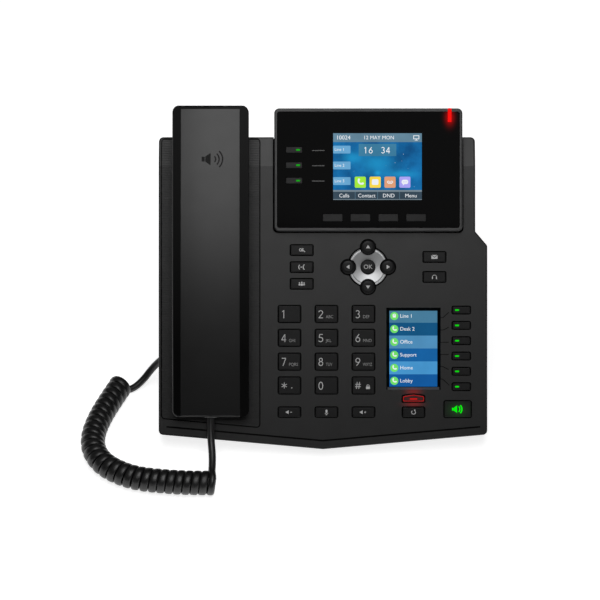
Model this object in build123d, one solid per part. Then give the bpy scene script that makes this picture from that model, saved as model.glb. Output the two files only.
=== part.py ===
from build123d import *
import os
from math import sin, cos, tan, radians, degrees, pi, hypot

# Desk telephone with a colour display, a corded handset and a clip-on stand.
#
# Every piece is drawn flat first: X runs to the right, Y up the face, Z out of
# the face, with Y = 0 at the point of the lower edge and Z = 0 on the face. The
# finished pieces are then tipped back by face_tilt and lifted so that the feet
# stand on Z = 0, and the whole is centred on the origin.

os.makedirs("parts", exist_ok=True)
for old in os.listdir("parts"):
    if old.endswith(".step"):
        os.remove(os.path.join("parts", old))

# ---- driving dimensions, mm -------------------------------------------------
face_tilt = 45.0          # the face leans back this far from the desk, degrees
lip_height = 11.0         # point of the lower edge above the desk
half_width = 105.2        # half of the body's full width
body_top = 200.0          # top edge of the body, along the face
shoulder_x = 97.5         # half width of the narrower upper right part
shoulder_y0, shoulder_y1 = 130.4, 139.4
edge_rise = 9.39          # the lower edge rises this much from its point to a side
crease_y = 181.3          # above this line the face falls away
crease_angle = 12.0
front_depth = 13.0        # front cover, face to parting line
rear_depth = 28.0         # face to the back of the rear cover
wall = 2.2                # cover wall
foot_height = 1.5         # rubber feet
key_gap = 0.45            # gap round a keycap
key_travel = 1.2
key_proud = 1.1           # keycaps above the face
head_x0, head_x1, head_y0, head_y1 = -31.2, 89.0, 139.4, 217.9
head_front = 6.0          # rim of the display head above the face
head_wall = 1.7
lens_top, lens_bottom = 5.2, 3.2
handset_x = -71.7
handset_w = 48.6
handset_y0, handset_y1 = 21.1, 219.3
handset_top = 21.2        # highest line of the handset's back
handset_bow = 4.5         # its ends are this much lower than its middle
handset_split = 7.5
handset_lift = 100.0
hook_travel = 3.0
cord_d = 4.7              # handset cord
coil_d = 15.8             # outside of the curly part

C, S = cos(radians(face_tilt)), sin(radians(face_tilt))


def prism(points, z0, z1):
    return extrude(Pos(0, 0, z0) * make_face(Polyline(*points, close=True)), z1 - z0, dir=(0, 0, 1))


def rounded(points, radii, z0, z1):
    wire = FilletPolyline(*points, radius=radii, close=True)
    return extrude(Pos(0, 0, z0) * make_face(wire), z1 - z0, dir=(0, 0, 1))


def plate(x0, x1, y0, y1, z0, z1, r=0.0):
    sk = RectangleRounded(x1 - x0, y1 - y0, r) if r else Rectangle(x1 - x0, y1 - y0)
    return extrude(Pos((x0 + x1) / 2, (y0 + y1) / 2, z0) * sk, z1 - z0, dir=(0, 0, 1))


def disc(cx, cy, r, z0, z1):
    return extrude(Pos(cx, cy, z0) * Circle(r), z1 - z0, dir=(0, 0, 1))


def side_prism(points, x0, x1):
    """A profile in the Y-Z plane, extruded along X."""
    sk = Plane.YZ.offset(x0) * make_face(Polyline(*points, close=True))
    return extrude(sk, x1 - x0, dir=(1, 0, 0))


def frustum(x0, x1, y0, y1, z0, x2, x3, y2, y3, z1):
    a = Pos((x0 + x1) / 2, (y0 + y1) / 2, z0) * Rectangle(x1 - x0, y1 - y0)
    b = Pos((x2 + x3) / 2, (y2 + y3) / 2, z1) * Rectangle(x3 - x2, y3 - y2)
    return loft([a, b])


def soft_edges(shape, pick, r):
    """Rounds the picked edges, or as many of them as take it."""
    edges = pick(shape)
    try:
        return fillet(edges, r)
    except Exception:
        for e in edges:
            try:
                shape = fillet([e], r)
            except Exception:
                pass
        return shape


def up(shape):
    return Rot(face_tilt, 0, 0) * shape


nodes = {}

# ---- keys: name, centre, opening size, corner radius, kind --------------------
digit_x = (-21.45, 2.22, 25.90)
digit_y = (86.6, 71.35, 56.1, 40.85)
digit_names = [["1", "2", "3"], ["4", "5", "6"], ["7", "8", "9"], ["star", "0", "hash"]]
keys = []
for row in range(4):
    for col in range(3):
        keys.append((f"key_{digit_names[row][col]}", digit_x[col], digit_y[row], 14.85, 11.2, 1.3, "face"))
for name, x in zip(("volume_down_key", "mute_key", "volume_up_key"), digit_x):
    keys.append((name, x, 23.8, 14.85, 6.9, 1.3, "face"))
for name, y in (("hold_key", 127.5), ("transfer_key", 116.6), ("conference_key", 105.9)):
    keys.append((name, -13.6, y, 15.0, 7.1, 1.0, "face"))
for name, y in (("voicemail_key", 123.1), ("headset_key", 110.3)):
    keys.append((name, 71.3, y, 15.0, 7.1, 1.0, "face"))
for i in range(6):
    keys.append((f"speed_dial_key_{i + 1}", 88.5, 89.1 - 9.8 * i, 12.1, 5.2, 1.1, "face"))
keys.append(("redial_key", 57.95, 23.75, 14.75, 7.0, 1.3, "face"))
keys.append(("speaker_key", 86.15, 25.7, 17.9, 11.0, 1.3, "face"))
for i, y in enumerate((191.4, 181.6, 171.75)):
    keys.append((f"line_key_{i + 1}", -18.5, y, 10.5, 3.9, 0.7, "lens"))
for i, x in enumerate((6.15, 23.84, 41.63, 59.4)):
    keys.append((f"soft_key_{i + 1}", x, 148.1, 12.8, 4.8, 0.7, "lens"))
nav_x, nav_y, nav_r = 28.8, 116.7, 12.75
nav = [("nav_up_key", 0, 1), ("nav_down_key", 0, -1), ("nav_left_key", -1, 0), ("nav_right_key", 1, 0)]
nav_open, ok_open, ring_open, ring_r = 4.95, 4.75, 12.8, 12.4
page_x, page_y0, page_y1, page_peak, page_w = 57.9, 30.0, 34.2, 35.6, 14.7


def page_outline(grow):
    w = page_w / 2 + grow
    pts = [(page_x - w, page_y0 - grow), (page_x + w, page_y0 - grow), (page_x + w, page_y1 + grow * 0.6),
           (page_x + w * 0.72, page_y1 + 0.55 * (page_peak - page_y1) + grow), (page_x, page_peak + grow),
           (page_x - w * 0.72, page_y1 + 0.55 * (page_peak - page_y1) + grow), (page_x - w, page_y1 + grow * 0.6)]
    return pts


page_radii = [0.8, 0.8, 0.7, 1.5, 1.5, 1.5, 0.7]

# ---- front cover ------------------------------------------------------------
outline = [(-half_width, edge_rise), (0, 0), (half_width, edge_rise), (half_width, shoulder_y0),
           (shoulder_x, shoulder_y1), (shoulder_x, body_top), (-half_width, body_top)]
outline_r = [3, 1.5, 3, 3, 2, 3, 3]


def crease_wedge(z):
    """What is cut away above the crease, for a surface that is at height z below it."""
    far = body_top + 30
    return side_prism([(crease_y, z), (far, z - (far - crease_y) * tan(radians(crease_angle))), (far, z + 30), (crease_y, z + 30)], -130, 130)


def inset(pts, d):
    """The outline moved in by d, near enough for a wall."""
    s = d / cos(radians(5.1))
    return [(-half_width + d, edge_rise + s - d * tan(radians(5.1))), (0, s), (half_width - d, edge_rise + s - d * tan(radians(5.1))),
            (half_width - d, shoulder_y0 - d * 0.4), (shoulder_x - d, shoulder_y1 - d * 0.4), (shoulder_x - d, body_top - d), (-half_width + d, body_top - d)]


front = rounded(outline, outline_r, -front_depth, 0) - crease_wedge(0)
top_z = -(body_top - crease_y) * tan(radians(crease_angle))


def rim_edges(s):
    found = []
    for e in s.edges():
        c = e @ 0.5
        on_rim = c.Z > -4.6 and not (abs(c.Y - crease_y) < 0.2 and abs(c.X) < half_width - 4 and c.Z > -0.2)
        a, b = e @ 0, e @ 1
        vertical = abs(a.Z - b.Z) > 2 and hypot(a.X - b.X, a.Y - b.Y) < 0.05
        if on_rim and not vertical:
            found.append(e)
    return found


front = soft_edges(front, rim_edges, 1.1)
cavity = rounded(inset(outline, wall), [1.5, 1, 1.5, 1.5, 1, 1.5, 1.5], -front_depth - 1, -wall) - crease_wedge(-wall)
front -= cavity

# cradle: two pockets for the handset's pads and a dished finger gap between them
hx = handset_x
pockets = [  # x0, x1, y0, y1, floor
    (hx - 22.6, hx + 22.6, 158.0, 197.0, -5.5),
    (hx - 22.6, hx + 22.6, 27.0, 64.5, -5.5),
    (hx - 22.6, hx + 22.6, 76.0, 146.0, -4.6),
]
tubs = Part()
for x0, x1, y0, y1, f in pockets:
    tubs += plate(x0 - 1.8, x1 + 1.8, y0 - 1.8, min(y1 + 1.8, 198.4), f - 1.6, -1.0, 3.5)
tubs -= crease_wedge(-1.0)
front += tubs
for x0, x1, y0, y1, f in pockets:
    front -= soft_edges(plate(x0, x1, y0, y1, f, 4, 3.0), lambda s, f=f: [e for e in s.edges() if abs((e @ 0.5).Z - f) < 0.01], 1.4)
hook_x, hook_y = hx, 164.0
front -= plate(hook_x - 5.3, hook_x + 5.3, hook_y - 2.8, hook_y + 2.8, -12, -5, 1.0)

# the cradle's panel is sunk a little, with a fine groove round it
panel = [(-103.7, 19.3), (-40.1, 13.6), (-40.1, 199.1), (-103.7, 199.1)]
panel_in = [(-103.1, 19.95), (-40.7, 14.3), (-40.7, 198.5), (-103.1, 198.5)]
groove = rounded(panel, [2.2, 2.2, 2.2, 2.2], -1.0, 3) - rounded(panel_in, [1.7, 1.7, 1.7, 1.7], -2, 4)
slope_keep = crease_wedge(-1.0)
groove_top = side_prism([(crease_y - 0.01, -0.75), (crease_y - 0.01, 2), (body_top + 5, 2), (body_top + 5, -0.75 - (body_top + 5 - crease_y) * tan(radians(crease_angle)))], -130, 130) & (rounded(panel, [2.2, 2.2, 2.2, 2.2], -12, 3) - rounded(panel_in, [1.7, 1.7, 1.7, 1.7], -13, 4))
groove_low = (rounded(panel, [2.2, 2.2, 2.2, 2.2], -0.75, 3) - rounded(panel_in, [1.7, 1.7, 1.7, 1.7], -2, 4)) - plate(-130, 130, crease_y, 230, -5, 5)
front -= groove_low
front -= groove_top

# shallow groove along the lower edge
front -= prism([(-100.2, 13.95), (0, 5.1), (100.6, 13.95), (100.6, 14.85), (0, 6.0), (-100.2, 14.85)], -0.8, 3)

# openings for the keys, the side screen, the navigation keys and the head
cuts = []
for name, x, y, w, h, r, kind in keys:
    if kind == "face":
        cuts.append(plate(x - w / 2, x + w / 2, y - h / 2, y + h / 2, -5, 3, r))
cuts.append(rounded(page_outline(0), page_radii, -5, 3))
cuts.append(disc(nav_x, nav_y, ring_open, -5, 3))
for name, ux, uy in nav:
    cuts.append(disc(nav_x + ux * nav_r, nav_y + uy * nav_r, nav_open, -5, 3))
scr_x0, scr_x1, scr_y0, scr_y1 = 42.2, 73.6, 39.8, 88.8
cuts.append(frustum(scr_x0 - 0.05, scr_x1 + 0.05, scr_y0 - 0.05, scr_y1 + 0.05, -2.3, scr_x0 - 1.75, scr_x1 + 1.75, scr_y0 - 1.75, scr_y1 + 1.95, 0.1))
cuts.append(plate(head_x0 - 0.4, head_x1 + 0.4, head_y0 - 0.45, 230, -30, 10, 2.0))
for c in cuts:
    front -= c
# screw bosses behind the face
boss = [(-36, 148), (94.0, 108.0), (-36, 30), (94.5, 15.4)]
for x, y in boss:
    front += disc(x, y, 3.0, -front_depth + 0.2, -wall + 0.2) - disc(x, y, 1.25, -front_depth - 1, -3.4)
nodes["front_cover"] = front

# ---- rear cover --------------------------------------------------------------
rear_out = inset(outline, 0.8)
sk = Pos(0, 0, -front_depth) * make_face(FilletPolyline(*rear_out, radius=[3, 1.5, 3, 3, 2, 3, 3], close=True))
rear = extrude(sk, rear_depth - front_depth, dir=(0, 0, -1), taper=8)
rear_in = inset(outline, 0.8 + 2.0)
sk = Pos(0, 0, -front_depth) * make_face(FilletPolyline(*rear_in, radius=[2, 1, 2, 2, 1.5, 2, 2], close=True))
rear_cavity = extrude(sk, rear_depth - front_depth - 2.0, dir=(0, 0, -1), taper=8)
head_back = plate(head_x0 + 0.8, head_x1 - 0.8, head_y0 + 4, head_y1 - 0.8, -23.5, -front_depth - 1.2, 3.0)
head_back = soft_edges(head_back, lambda s: [e for e in s.edges() if abs((e @ 0.5).Z + 23.5) < 0.01], 2.0)
head_back_in = plate(head_x0 + 2.8, head_x1 - 2.8, head_y0 + 6, head_y1 - 2.8, -21.5, -front_depth + 1, 2.0)
rear = soft_edges(rear, lambda s: [e for e in s.edges() if abs((e @ 0.5).Z + rear_depth) < 0.01], 2.2)
facet = (foot_height - lip_height) / S       # y + z on the plane of the flat underside
rear -= side_prism([(facet + 60, -60), (facet - 60, 60), (facet - 120, 0), (facet, -120)], -130, 130)
rear_cavity -= side_prism([(facet + 2.9 + 60, -60), (facet + 2.9 - 60, 60), (facet - 120, 0), (facet, -120)], -130, 130)
rear += head_back
rear -= rear_cavity
rear -= head_back_in
# the bezel of the head passes down into the rear cover's mouth
rear -= plate(head_x0 - 0.3, head_x1 + 0.3, head_y0 - 0.3, head_y1 + 1, -front_depth - 1.2, -front_depth + 1, 2.0)

# port bays: hollow boxes let into the back, open downwards along the slope
bay_top, bay_bot = 100.0, 62.0
bay_x0, bay_x1 = -8.0, 62.0
line_bay = (-97.0, -60.0, 56.0, 92.0)
rear += plate(bay_x0 - 1.6, bay_x1 + 1.6, bay_bot - 1.6, bay_top + 1.6, -rear_depth + 0.5, -9.4)
rear += plate(line_bay[0] - 1.6, line_bay[1] + 1.6, line_bay[2] - 1.6, line_bay[3] + 1.6, -rear_depth + 0.5, -10.0)
rear -= plate(bay_x0, bay_x1, bay_bot, bay_top, -rear_depth - 1, -11.0, 1.5)
rear -= plate(line_bay[0], line_bay[1], line_bay[2], line_bay[3], -rear_depth - 1, -11.6, 1.5)
jack_x = (8.0, 27.0)
dc_x = 48.0
phone_jack_x = -88.0
headset_jack_x = -71.0
jack_w = 16.0
for x in jack_x:
    rear -= plate(x - jack_w / 2 - 0.2, x + jack_w / 2 + 0.2, bay_top - 1, bay_top + 3, -22.4, -9.2)
rear -= plate(dc_x - 4.7, dc_x + 4.7, bay_top - 1, bay_top + 3, -20.0, -9.2)
for x in (phone_jack_x, headset_jack_x):
    rear -= plate(x - 5.7, x + 5.7, line_bay[3] - 1, line_bay[3] + 3, -26.0, -9.2)
# loudspeaker vents: rows of slots through the back below the stand
for i in range(7):
    rear -= plate(70, 92, 64 + 4.2 * i, 66 + 4.2 * i, -rear_depth - 1, -rear_depth + 3, 0.9)
# slots for the stand's hooks
hook_slots = [(-48, 168), (48, 168), (-48, 136), (48, 136)]
for x, y in hook_slots:
    rear -= plate(x - 6, x + 6, y - 3.5, y + 3.5, -rear_depth - 1, -rear_depth + 3, 0.8)
# screw wells at the bosses
for x, y in boss:
    well = disc(x, y, 4.6, -rear_depth + 0.4, -front_depth - 0.2)
    well -= side_prism([(facet + 60, -60), (facet - 60, 60), (facet - 120, 0), (facet, -120)], -130, 130)
    rear += well & rounded(inset(outline, 1.2), [3, 1.5, 3, 3, 2, 3, 3], -40, 0)
    rear -= disc(x, y, 3.2, -rear_depth - 1, -front_depth - 2.4)
    rear -= disc(x, y, 1.7, -rear_depth - 1, 0)
nodes["rear_cover"] = rear

# ---- display head ------------------------------------------------------------
bezel = plate(head_x0, head_x1, head_y0, head_y1, -front_depth - 1.2, head_front, 3.2)
bezel = soft_edges(bezel, lambda s: [e for e in s.edges() if abs((e @ 0.5).Z - head_front) < 0.01], 0.8)
bezel -= plate(head_x0 + head_wall, head_x1 - head_wall, head_y0 + 2.1, head_y1 - head_wall - 0.3, lens_bottom, 20, 1.6)
bezel -= plate(head_x0 + 3.2, head_x1 - 3.2, head_y0 + 3.6, head_y1 - 3.4, -40, 20, 1.2)
mwi_x0, mwi_x1, mwi_y0 = 79.7, 82.0, 209.3
bezel -= plate(mwi_x0 - 0.1, mwi_x1 + 0.1, 212, head_y1 + 2, -4.1, 20)
nodes["display_bezel"] = bezel

lens = plate(head_x0 + head_wall + 0.1, head_x1 - head_wall - 0.1, head_y0 + 2.2, head_y1 - head_wall - 0.4, lens_bottom, lens_top, 1.5)
for name, x, y, w, h, r, kind in keys:
    if kind == "lens":
        lens -= plate(x - w / 2, x + w / 2, y - h / 2, y + h / 2, 0, 9, r)
lens -= plate(mwi_x0 - 0.1, mwi_x1 + 0.1, mwi_y0 - 0.1, head_y1, 0, 9)
nodes["display_window"] = lens

light = side_prism([(mwi_y0, 3.3), (mwi_y0, 5.45), (215.9, 5.45), (216.2, 6.15), (218.0, 6.15), (218.0, -3.9), (215.0, -3.9), (215.0, 3.3)], mwi_x0, mwi_x1)
nodes["message_light"] = light

lcd_cx, lcd_cy = 34.85, 181.0
lcd = plate(lcd_cx - 34.6, lcd_cx + 34.6, 153.2, 207.0, -0.6, lens_bottom - 0.05, 0.6)
lcd -= plate(lcd_cx - 29.0, lcd_cx + 29.0, lcd_cy - 21.8, lcd_cy + 21.8, 2.6, 9)
lcd += plate(lcd_cx - 28.9, lcd_cx + 28.9, lcd_cy - 21.7, lcd_cy + 21.7, 2.2, 2.95)
nodes["main_display"] = lcd

side = plate(39.0, 76.9, 36.7, 93.3, -5.4, -wall - 0.1, 0.8)
side -= plate(scr_x0 - 0.4, scr_x1 + 0.4, scr_y0 - 0.4, scr_y1 + 0.4, -2.75, 0)
side += plate(scr_x0 - 0.3, scr_x1 + 0.3, scr_y0 - 0.3, scr_y1 + 0.3, -3.2, -2.45)
nodes["side_display"] = side

# ---- navigation ring: a dished disc with bites for the four arrow keys -----------
ring_profile = make_face(Polyline((ok_open, -2.1), (ring_r, -2.1), (ring_r, 0.55), (ring_r - 0.5, 0.9), (ring_r - 1.3, 0.9), (ring_r - 1.8, 0.45), (ok_open, -0.9), close=True))
ring = revolve(Plane.XZ * ring_profile, Axis.Z)
ring = Pos(nav_x, nav_y, 0) * ring
for a in (45, 135, 225, 315):
    ring += Pos(nav_x, nav_y, 0) * Rot(0, 0, a) * plate(11.0, 14.2, -1.6, 1.6, -3.3, -2.3 + 0.0)
    ring += Pos(nav_x, nav_y, 0) * Rot(0, 0, a) * plate(11.0, 12.2, -1.6, 1.6, -3.3, -1.9)
for name, ux, uy in nav:
    ring -= disc(nav_x + ux * nav_r, nav_y + uy * nav_r, nav_open, -6, 6)
nodes["nav_ring"] = ring

# ---- keycaps -------------------------------------------------------------------
key_nodes = []


def cap_edges(z, r):
    return lambda s: [e for e in s.edges() if abs((e @ 0.5).Z - z) < 0.01]


for name, x, y, w, h, r, kind in keys:
    g = key_gap if kind == "face" else 0.12
    if kind == "face":
        cap = plate(x - w / 2 + g, x + w / 2 - g, y - h / 2 + g, y + h / 2 - g, -5.0, key_proud, max(r - g, 0.4))
        cap = soft_edges(cap, cap_edges(key_proud, 0.45), 0.45)
        cap += plate(x - w / 2 - 0.6, x + w / 2 + 0.6, y - h / 2 - 0.6, y + h / 2 + 0.6, -3.6, -2.6, 0.6)
    else:
        t = lens_top + 0.25
        cap = plate(x - w / 2 + g, x + w / 2 - g, y - h / 2 + g, y + h / 2 - g, 0.6, t, r - 0.1)
        cap = soft_edges(cap, cap_edges(t, 0.2), 0.18)
        cap += plate(x - w / 2 - 0.6, x + w / 2 + 0.6, y - h / 2 - 0.6, y + h / 2 + 0.6, 1.9, 2.8, 0.6)
    nodes[name] = cap
    key_nodes.append(name)
for name, ux, uy in nav:
    cx, cy = nav_x + ux * nav_r, nav_y + uy * nav_r
    dome = make_face(Polyline((0, -5.0), (nav_open - 0.35, -5.0), (nav_open - 0.35, 0.75), (nav_open - 0.55, 1.25), (nav_open - 1.1, 1.75), (nav_open - 2.2, 2.05), (0, 2.05), close=True))
    cap = Pos(cx, cy, 0) * revolve(Plane.XZ * dome, Axis.Z)
    cap += disc(cx, cy, 5.4, -4.7, -3.7)
    nodes[name] = cap
    key_nodes.append(name)
dome = make_face(Polyline((0, -5.0), (ok_open - 0.3, -5.0), (ok_open - 0.3, 0.2), (ok_open - 0.6, 0.6), (0, 0.75), close=True))
nodes["ok_key"] = Pos(nav_x, nav_y, 0) * revolve(Plane.XZ * dome, Axis.Z) + disc(nav_x, nav_y, 5.2, -3.6, -2.6)
key_nodes.append("ok_key")
cap = rounded(page_outline(-key_gap), [0.6, 0.6, 0.5, 1.2, 1.2, 1.2, 0.5], -5.0, key_proud)
cap = soft_edges(cap, cap_edges(key_proud, 0.4), 0.4)
cap += plate(page_x - page_w / 2 - 0.6, page_x + page_w / 2 + 0.6, page_y0 - 0.5, page_y1 + 0.4, -3.6, -2.6, 0.6)
nodes["page_key"] = cap
key_nodes.append("page_key")

# ---- circuit board with its jacks, each a block of its own against the board's underside ----------------
pcb_top = -7.0
pcb = plate(-40, 99, 18, 104, pcb_top - 1.6, pcb_top, 1.5)
pcb += plate(-40, 94, 100, 134, pcb_top - 1.6, pcb_top, 1.5)
pcb += plate(-97.5, -38, 78, 144, pcb_top - 1.6, pcb_top, 1.5)
for x, y in boss:
    pcb -= disc(x, y, 3.6, -12, 0)
jack_z0, jack_z1 = -20.6, -12.6
for x in jack_x:
    body = plate(x - jack_w / 2, x + jack_w / 2, bay_top, bay_top + 20, -22.1, pcb_top - 1.65)
    body -= plate(x - 5.9, x + 5.9, bay_top - 1, bay_top + 13, jack_z0, jack_z1)
    body -= plate(x - 3.1, x + 3.1, bay_top - 1, bay_top + 9, jack_z1 - 0.1, jack_z1 + 1.7)
    pcb += body
body = plate(dc_x - 4.5, dc_x + 4.5, bay_top, bay_top + 14, -19.8, pcb_top - 1.65)
body -= extrude(Plane.XZ.offset(-(bay_top + 10)) * (Pos(dc_x, -14.6) * Circle(3.1)), 11, dir=(0, -1, 0))
body += extrude(Plane.XZ.offset(-(bay_top + 10.5)) * (Pos(dc_x, -14.6) * Circle(1.0)), 9, dir=(0, -1, 0))
pcb += body
line_z = -19.4
for x in (phone_jack_x, headset_jack_x):
    body = plate(x - 5.5, x + 5.5, line_bay[3], line_bay[3] + 15, -25.8, pcb_top - 1.65)
    body -= plate(x - 3.95, x + 3.95, line_bay[3] - 1, line_bay[3] + 11.2, line_z - 3.35, line_z + 3.35)
    pcb += body
nodes["circuit_board"] = pcb

# ---- hook switch plunger ----------------------------------------------------------
hook_z = -5.65
hook = plate(hook_x - 5, hook_x + 5, hook_y - 2.5, hook_y + 2.5, -16.5, hook_z, 0.9)
hook = soft_edges(hook, cap_edges(hook_z, 1), 0.8)
hook += plate(hook_x - 6.5, hook_x + 6.5, hook_y - 4, hook_y + 4, -14.6, -13.4, 0.9)
nodes["hook_switch"] = hook

# ---- handset -------------------------------------------------------------------------
hy = (handset_y0 + handset_y1) / 2
half_len = (handset_y1 - handset_y0) / 2
bow_r = (half_len ** 2 + handset_bow ** 2) / (2 * handset_bow)
axis_z = handset_top - bow_r
hw = handset_w / 2


def bowed(section):
    """A section in the X-Z plane at the handset's middle, swept along the bow of its back."""
    ax = Axis((hx, hy, axis_z), (1, 0, 0))
    ang = degrees(half_len / bow_r) + 0.5
    face = Plane(origin=(hx, hy, 0), x_dir=(1, 0, 0), z_dir=(0, -1, 0)) * section
    return revolve(face.rotate(ax, -ang), ax, revolution_arc=2 * ang)


def back_section(d):
    t = handset_top - d
    e = 18.75 - d * 0.55
    w = hw - d
    low = 15.4 - d * 0.75
    return make_face(Polyline((-w, -20), (w, -20), (w, low), (e, t - 0.9)) + ThreePointArc((e, t - 0.9), (0, t), (-e, t - 0.9)) + Polyline((-e, t - 0.9), (-w, low), (-w, -20)))


def plan(d, z0, z1, r=4.2):
    return plate(hx - hw + d, hx + hw - d, handset_y0 + d, handset_y1 - d, z0, z1, r - d * 0.5)


shell = bowed(back_section(0)) & plan(0, -20, 40)


def handset_rim(s):
    """The two ends' upper edges."""
    found = []
    for e in s.edges():
        a, b, c = e @ 0, e @ 1, e @ 0.5
        if c.Z > 10 and (c.Y < handset_y0 + 4.5 or c.Y > handset_y1 - 4.5) and abs(a.Z - b.Z) < 3.2 and hypot(a.X - b.X, a.Y - b.Y) > 0.4:
            found.append(e)
    return found


# ends bevelled
end_cut = 1.5
for y, sgn in ((handset_y0, 1), (handset_y1, -1)):
    shell -= side_prism([(y - sgn * 1, 30), (y - sgn * 1, 12.0), (y + sgn * 0.0, 12.2), (y + sgn * end_cut, 17.6), (y + sgn * (end_cut + 3), 30)], hx - 40, hx + 40)
bevel_edges = lambda s: [e for e in s.edges() if e.length > 150 and (e @ 0.5).Z > 9]
shell = soft_edges(shell, bevel_edges, 0.55)
handset_whole = shell
outer = shell - plate(hx - 60, hx + 60, 0, 240, -40, handset_split)
inner_void = bowed(back_section(2.0)) & plan(2.0, -20, 40)
outer -= inner_void & plate(hx - 60, hx + 60, 0, 240, -40, 40)
# thicker tail round the cord socket
tail_y = handset_y0 + 13.5
tail = (shell & plate(hx - 7.4, hx + 7.4, handset_y0 + 0.2, tail_y + 2, handset_split, 13.6)) & plan(0.3, -20, 40)
outer += tail
plug_z = handset_split
socket = plate(hx - 4.0, hx + 4.0, handset_y0 - 1, tail_y, plug_z - 3.25, plug_z + 3.25)
outer -= socket
nodes["handset_back"] = outer

# underside: flat ends just clear of the face, a raised grip, and two pads
low_z, grip_z, pad_z = 1.0, 6.0, -5.4
under = side_prism([(handset_y0 - 1, low_z), (70, low_z), (80, grip_z), (143, grip_z), (153, low_z), (handset_y1 + 1, low_z),
                    (handset_y1 + 1, handset_split), (handset_y0 - 1, handset_split)], hx - 40, hx + 40)
inner = under & plan(0, -20, 40)
inner = soft_edges(inner, lambda s: [e for e in s.edges() if (e @ 0.5).Z < 5.3 and (e @ 0.5).Z > 0.5 and abs((e @ 0.5).X - hx) > hw - 4.3], 1.2)
pads = [(hx - 21.4, hx + 21.4, 159.4, 195.6), (hx - 21.4, hx + 21.4, 28.4, 63.1)]
for x0, x1, y0, y1 in pads:
    p = plate(x0, x1, y0, y1, pad_z, low_z + 1.5, 6.0)
    p = soft_edges(p, cap_edges(pad_z, 1), 2.2)
    inner += p
for x0, x1, y0, y1 in pads:
    inner -= plate(x0 + 2, x1 - 2, y0 + 2, y1 - 2, pad_z + 2.0, 20, 4.0)
# hollow above the floor, leaving the side walls and the tail
inner -= plan(2.0, low_z + 2.0, 20) & (plate(hx - 40, hx + 40, handset_y0 + 17, 76, -5, 20) + plate(hx - 40, hx + 40, 147, handset_y1 - 2, -5, 20))
inner -= plan(2.0, grip_z + 1.3, 20) & plate(hx - 40, hx + 40, 70, 153, -5, 20)
inner -= socket
# sound holes
ear_c, mic_c = (159.4 + 195.6) / 2, (28.4 + 63.1) / 2
holes = [(0, 3)] + [(4.2 * cos(radians(60 * k)), 3 + 4.2 * sin(radians(60 * k))) for k in range(6)]
for dx, dy in holes:
    inner -= disc(hx + dx, ear_c + dy, 0.8, -12, 0)
for dx in (-3, 0, 3):
    inner -= disc(hx + dx, mic_c, 0.7, -12, 0)
nodes["handset_front"] = inner

# ---- handset plugs and cord --------------------------------------------------------
plug_y0 = handset_y0 - 0.5
plug = plate(hx - 3.8, hx + 3.8, plug_y0, tail_y - 0.8, plug_z - 3.0, plug_z + 3.0, 0.3)
nodes["handset_plug"] = plug
base_plug_y0 = 85.0
base_plug = plate(phone_jack_x - 3.8, phone_jack_x + 3.8, base_plug_y0, line_bay[3] + 10.4, line_z - 3.1, line_z + 3.1, 0.3)
nodes["base_plug"] = base_plug

# ---- screws that hold the two covers together -----------------------------------------
screws = []
for x, y in boss:
    sc = disc(x, y, 2.8, -front_depth - 4.4, -front_depth - 2.4) + disc(x, y, 1.2, -front_depth - 2.5, -4.0)
    sc -= plate(x - 0.45, x + 0.45, y - 1.7, y + 1.7, -front_depth - 5, -front_depth - 3.4)
    sc -= plate(x - 1.7, x + 1.7, y - 0.45, y + 0.45, -front_depth - 5, -front_depth - 3.4)
    screws.append(sc)

# ---- tip everything back and stand it on the desk ---------------------------------------
low = {k: Pos(0, 0, lip_height) * up(v) for k, v in nodes.items()}
screws = [Pos(0, 0, lip_height) * up(v) for v in screws]


def at(x, v, w):
    """A point of the flat drawing, where it stands on the desk."""
    return (x, v * C - w * S, lip_height + v * S + w * C)


# ---- stand: a bracket hooked into the back, and its foot on the desk --------------------
stand_half = 62.0
pad_lo, pad_hi = at(0, 131, -rear_depth)[1:], at(0, 176, -rear_depth)[1:]
foot_y0, foot_y1 = 112.0, 158.0
side_web = [pad_lo, pad_hi, (pad_hi[0] + 5.5, pad_hi[1] - 2.0), (foot_y1 + 1.0, 6.0), (foot_y1, foot_height), (foot_y0, foot_height),
            (foot_y0, 5.0), (foot_y0 + 22, 9.0), (foot_y0 + 25, 40.0), (pad_lo[0] + 4.0, pad_lo[1] - 6.0)]
stand = side_prism(side_web, -stand_half, -stand_half + 3.2) + side_prism(side_web, stand_half - 3.2, stand_half)
back_plate = [(pad_hi[0], pad_hi[1]), (pad_hi[0] + 5.5, pad_hi[1] - 2.0), (foot_y1 + 1.0, 6.0), (foot_y1, foot_height), (foot_y1 - 3.2, foot_height), (foot_y1 - 2.4, 6.0), (pad_hi[0] + 1.9, pad_hi[1] - 5.0)]
stand += side_prism(back_plate, -stand_half, stand_half)
stand += side_prism([pad_lo, pad_hi, (pad_hi[0] + 2.2, pad_hi[1] - 2.2), (pad_lo[0] + 2.2, pad_lo[1] - 2.2)], -stand_half, stand_half)
foot = extrude(Pos(0, (foot_y0 + foot_y1) / 2, foot_height) * RectangleRounded(2 * stand_half, foot_y1 - foot_y0, 3), 3.4, dir=(0, 0, 1))
stand += foot
window_x, window_z0, window_z1 = 36.0, 22.0, 78.0
stand -= extrude(Plane.XZ.offset(-(foot_y1 + 20)) * (Pos(0, (window_z0 + window_z1) / 2) * RectangleRounded(2 * window_x, window_z1 - window_z0, 6)), 34, dir=(0, -1, 0))
hooks = Part()
for x, y in hook_slots:
    hooks += plate(x - 5, x + 5, y - 1.5, y + 2.7, -rear_depth - 1.5, -24.4) + plate(x - 5, x + 5, y + 2.0, y + 5.0, -25.8, -24.4)
stand += Pos(0, 0, lip_height) * up(hooks)
low["desk_stand"] = stand

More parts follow.
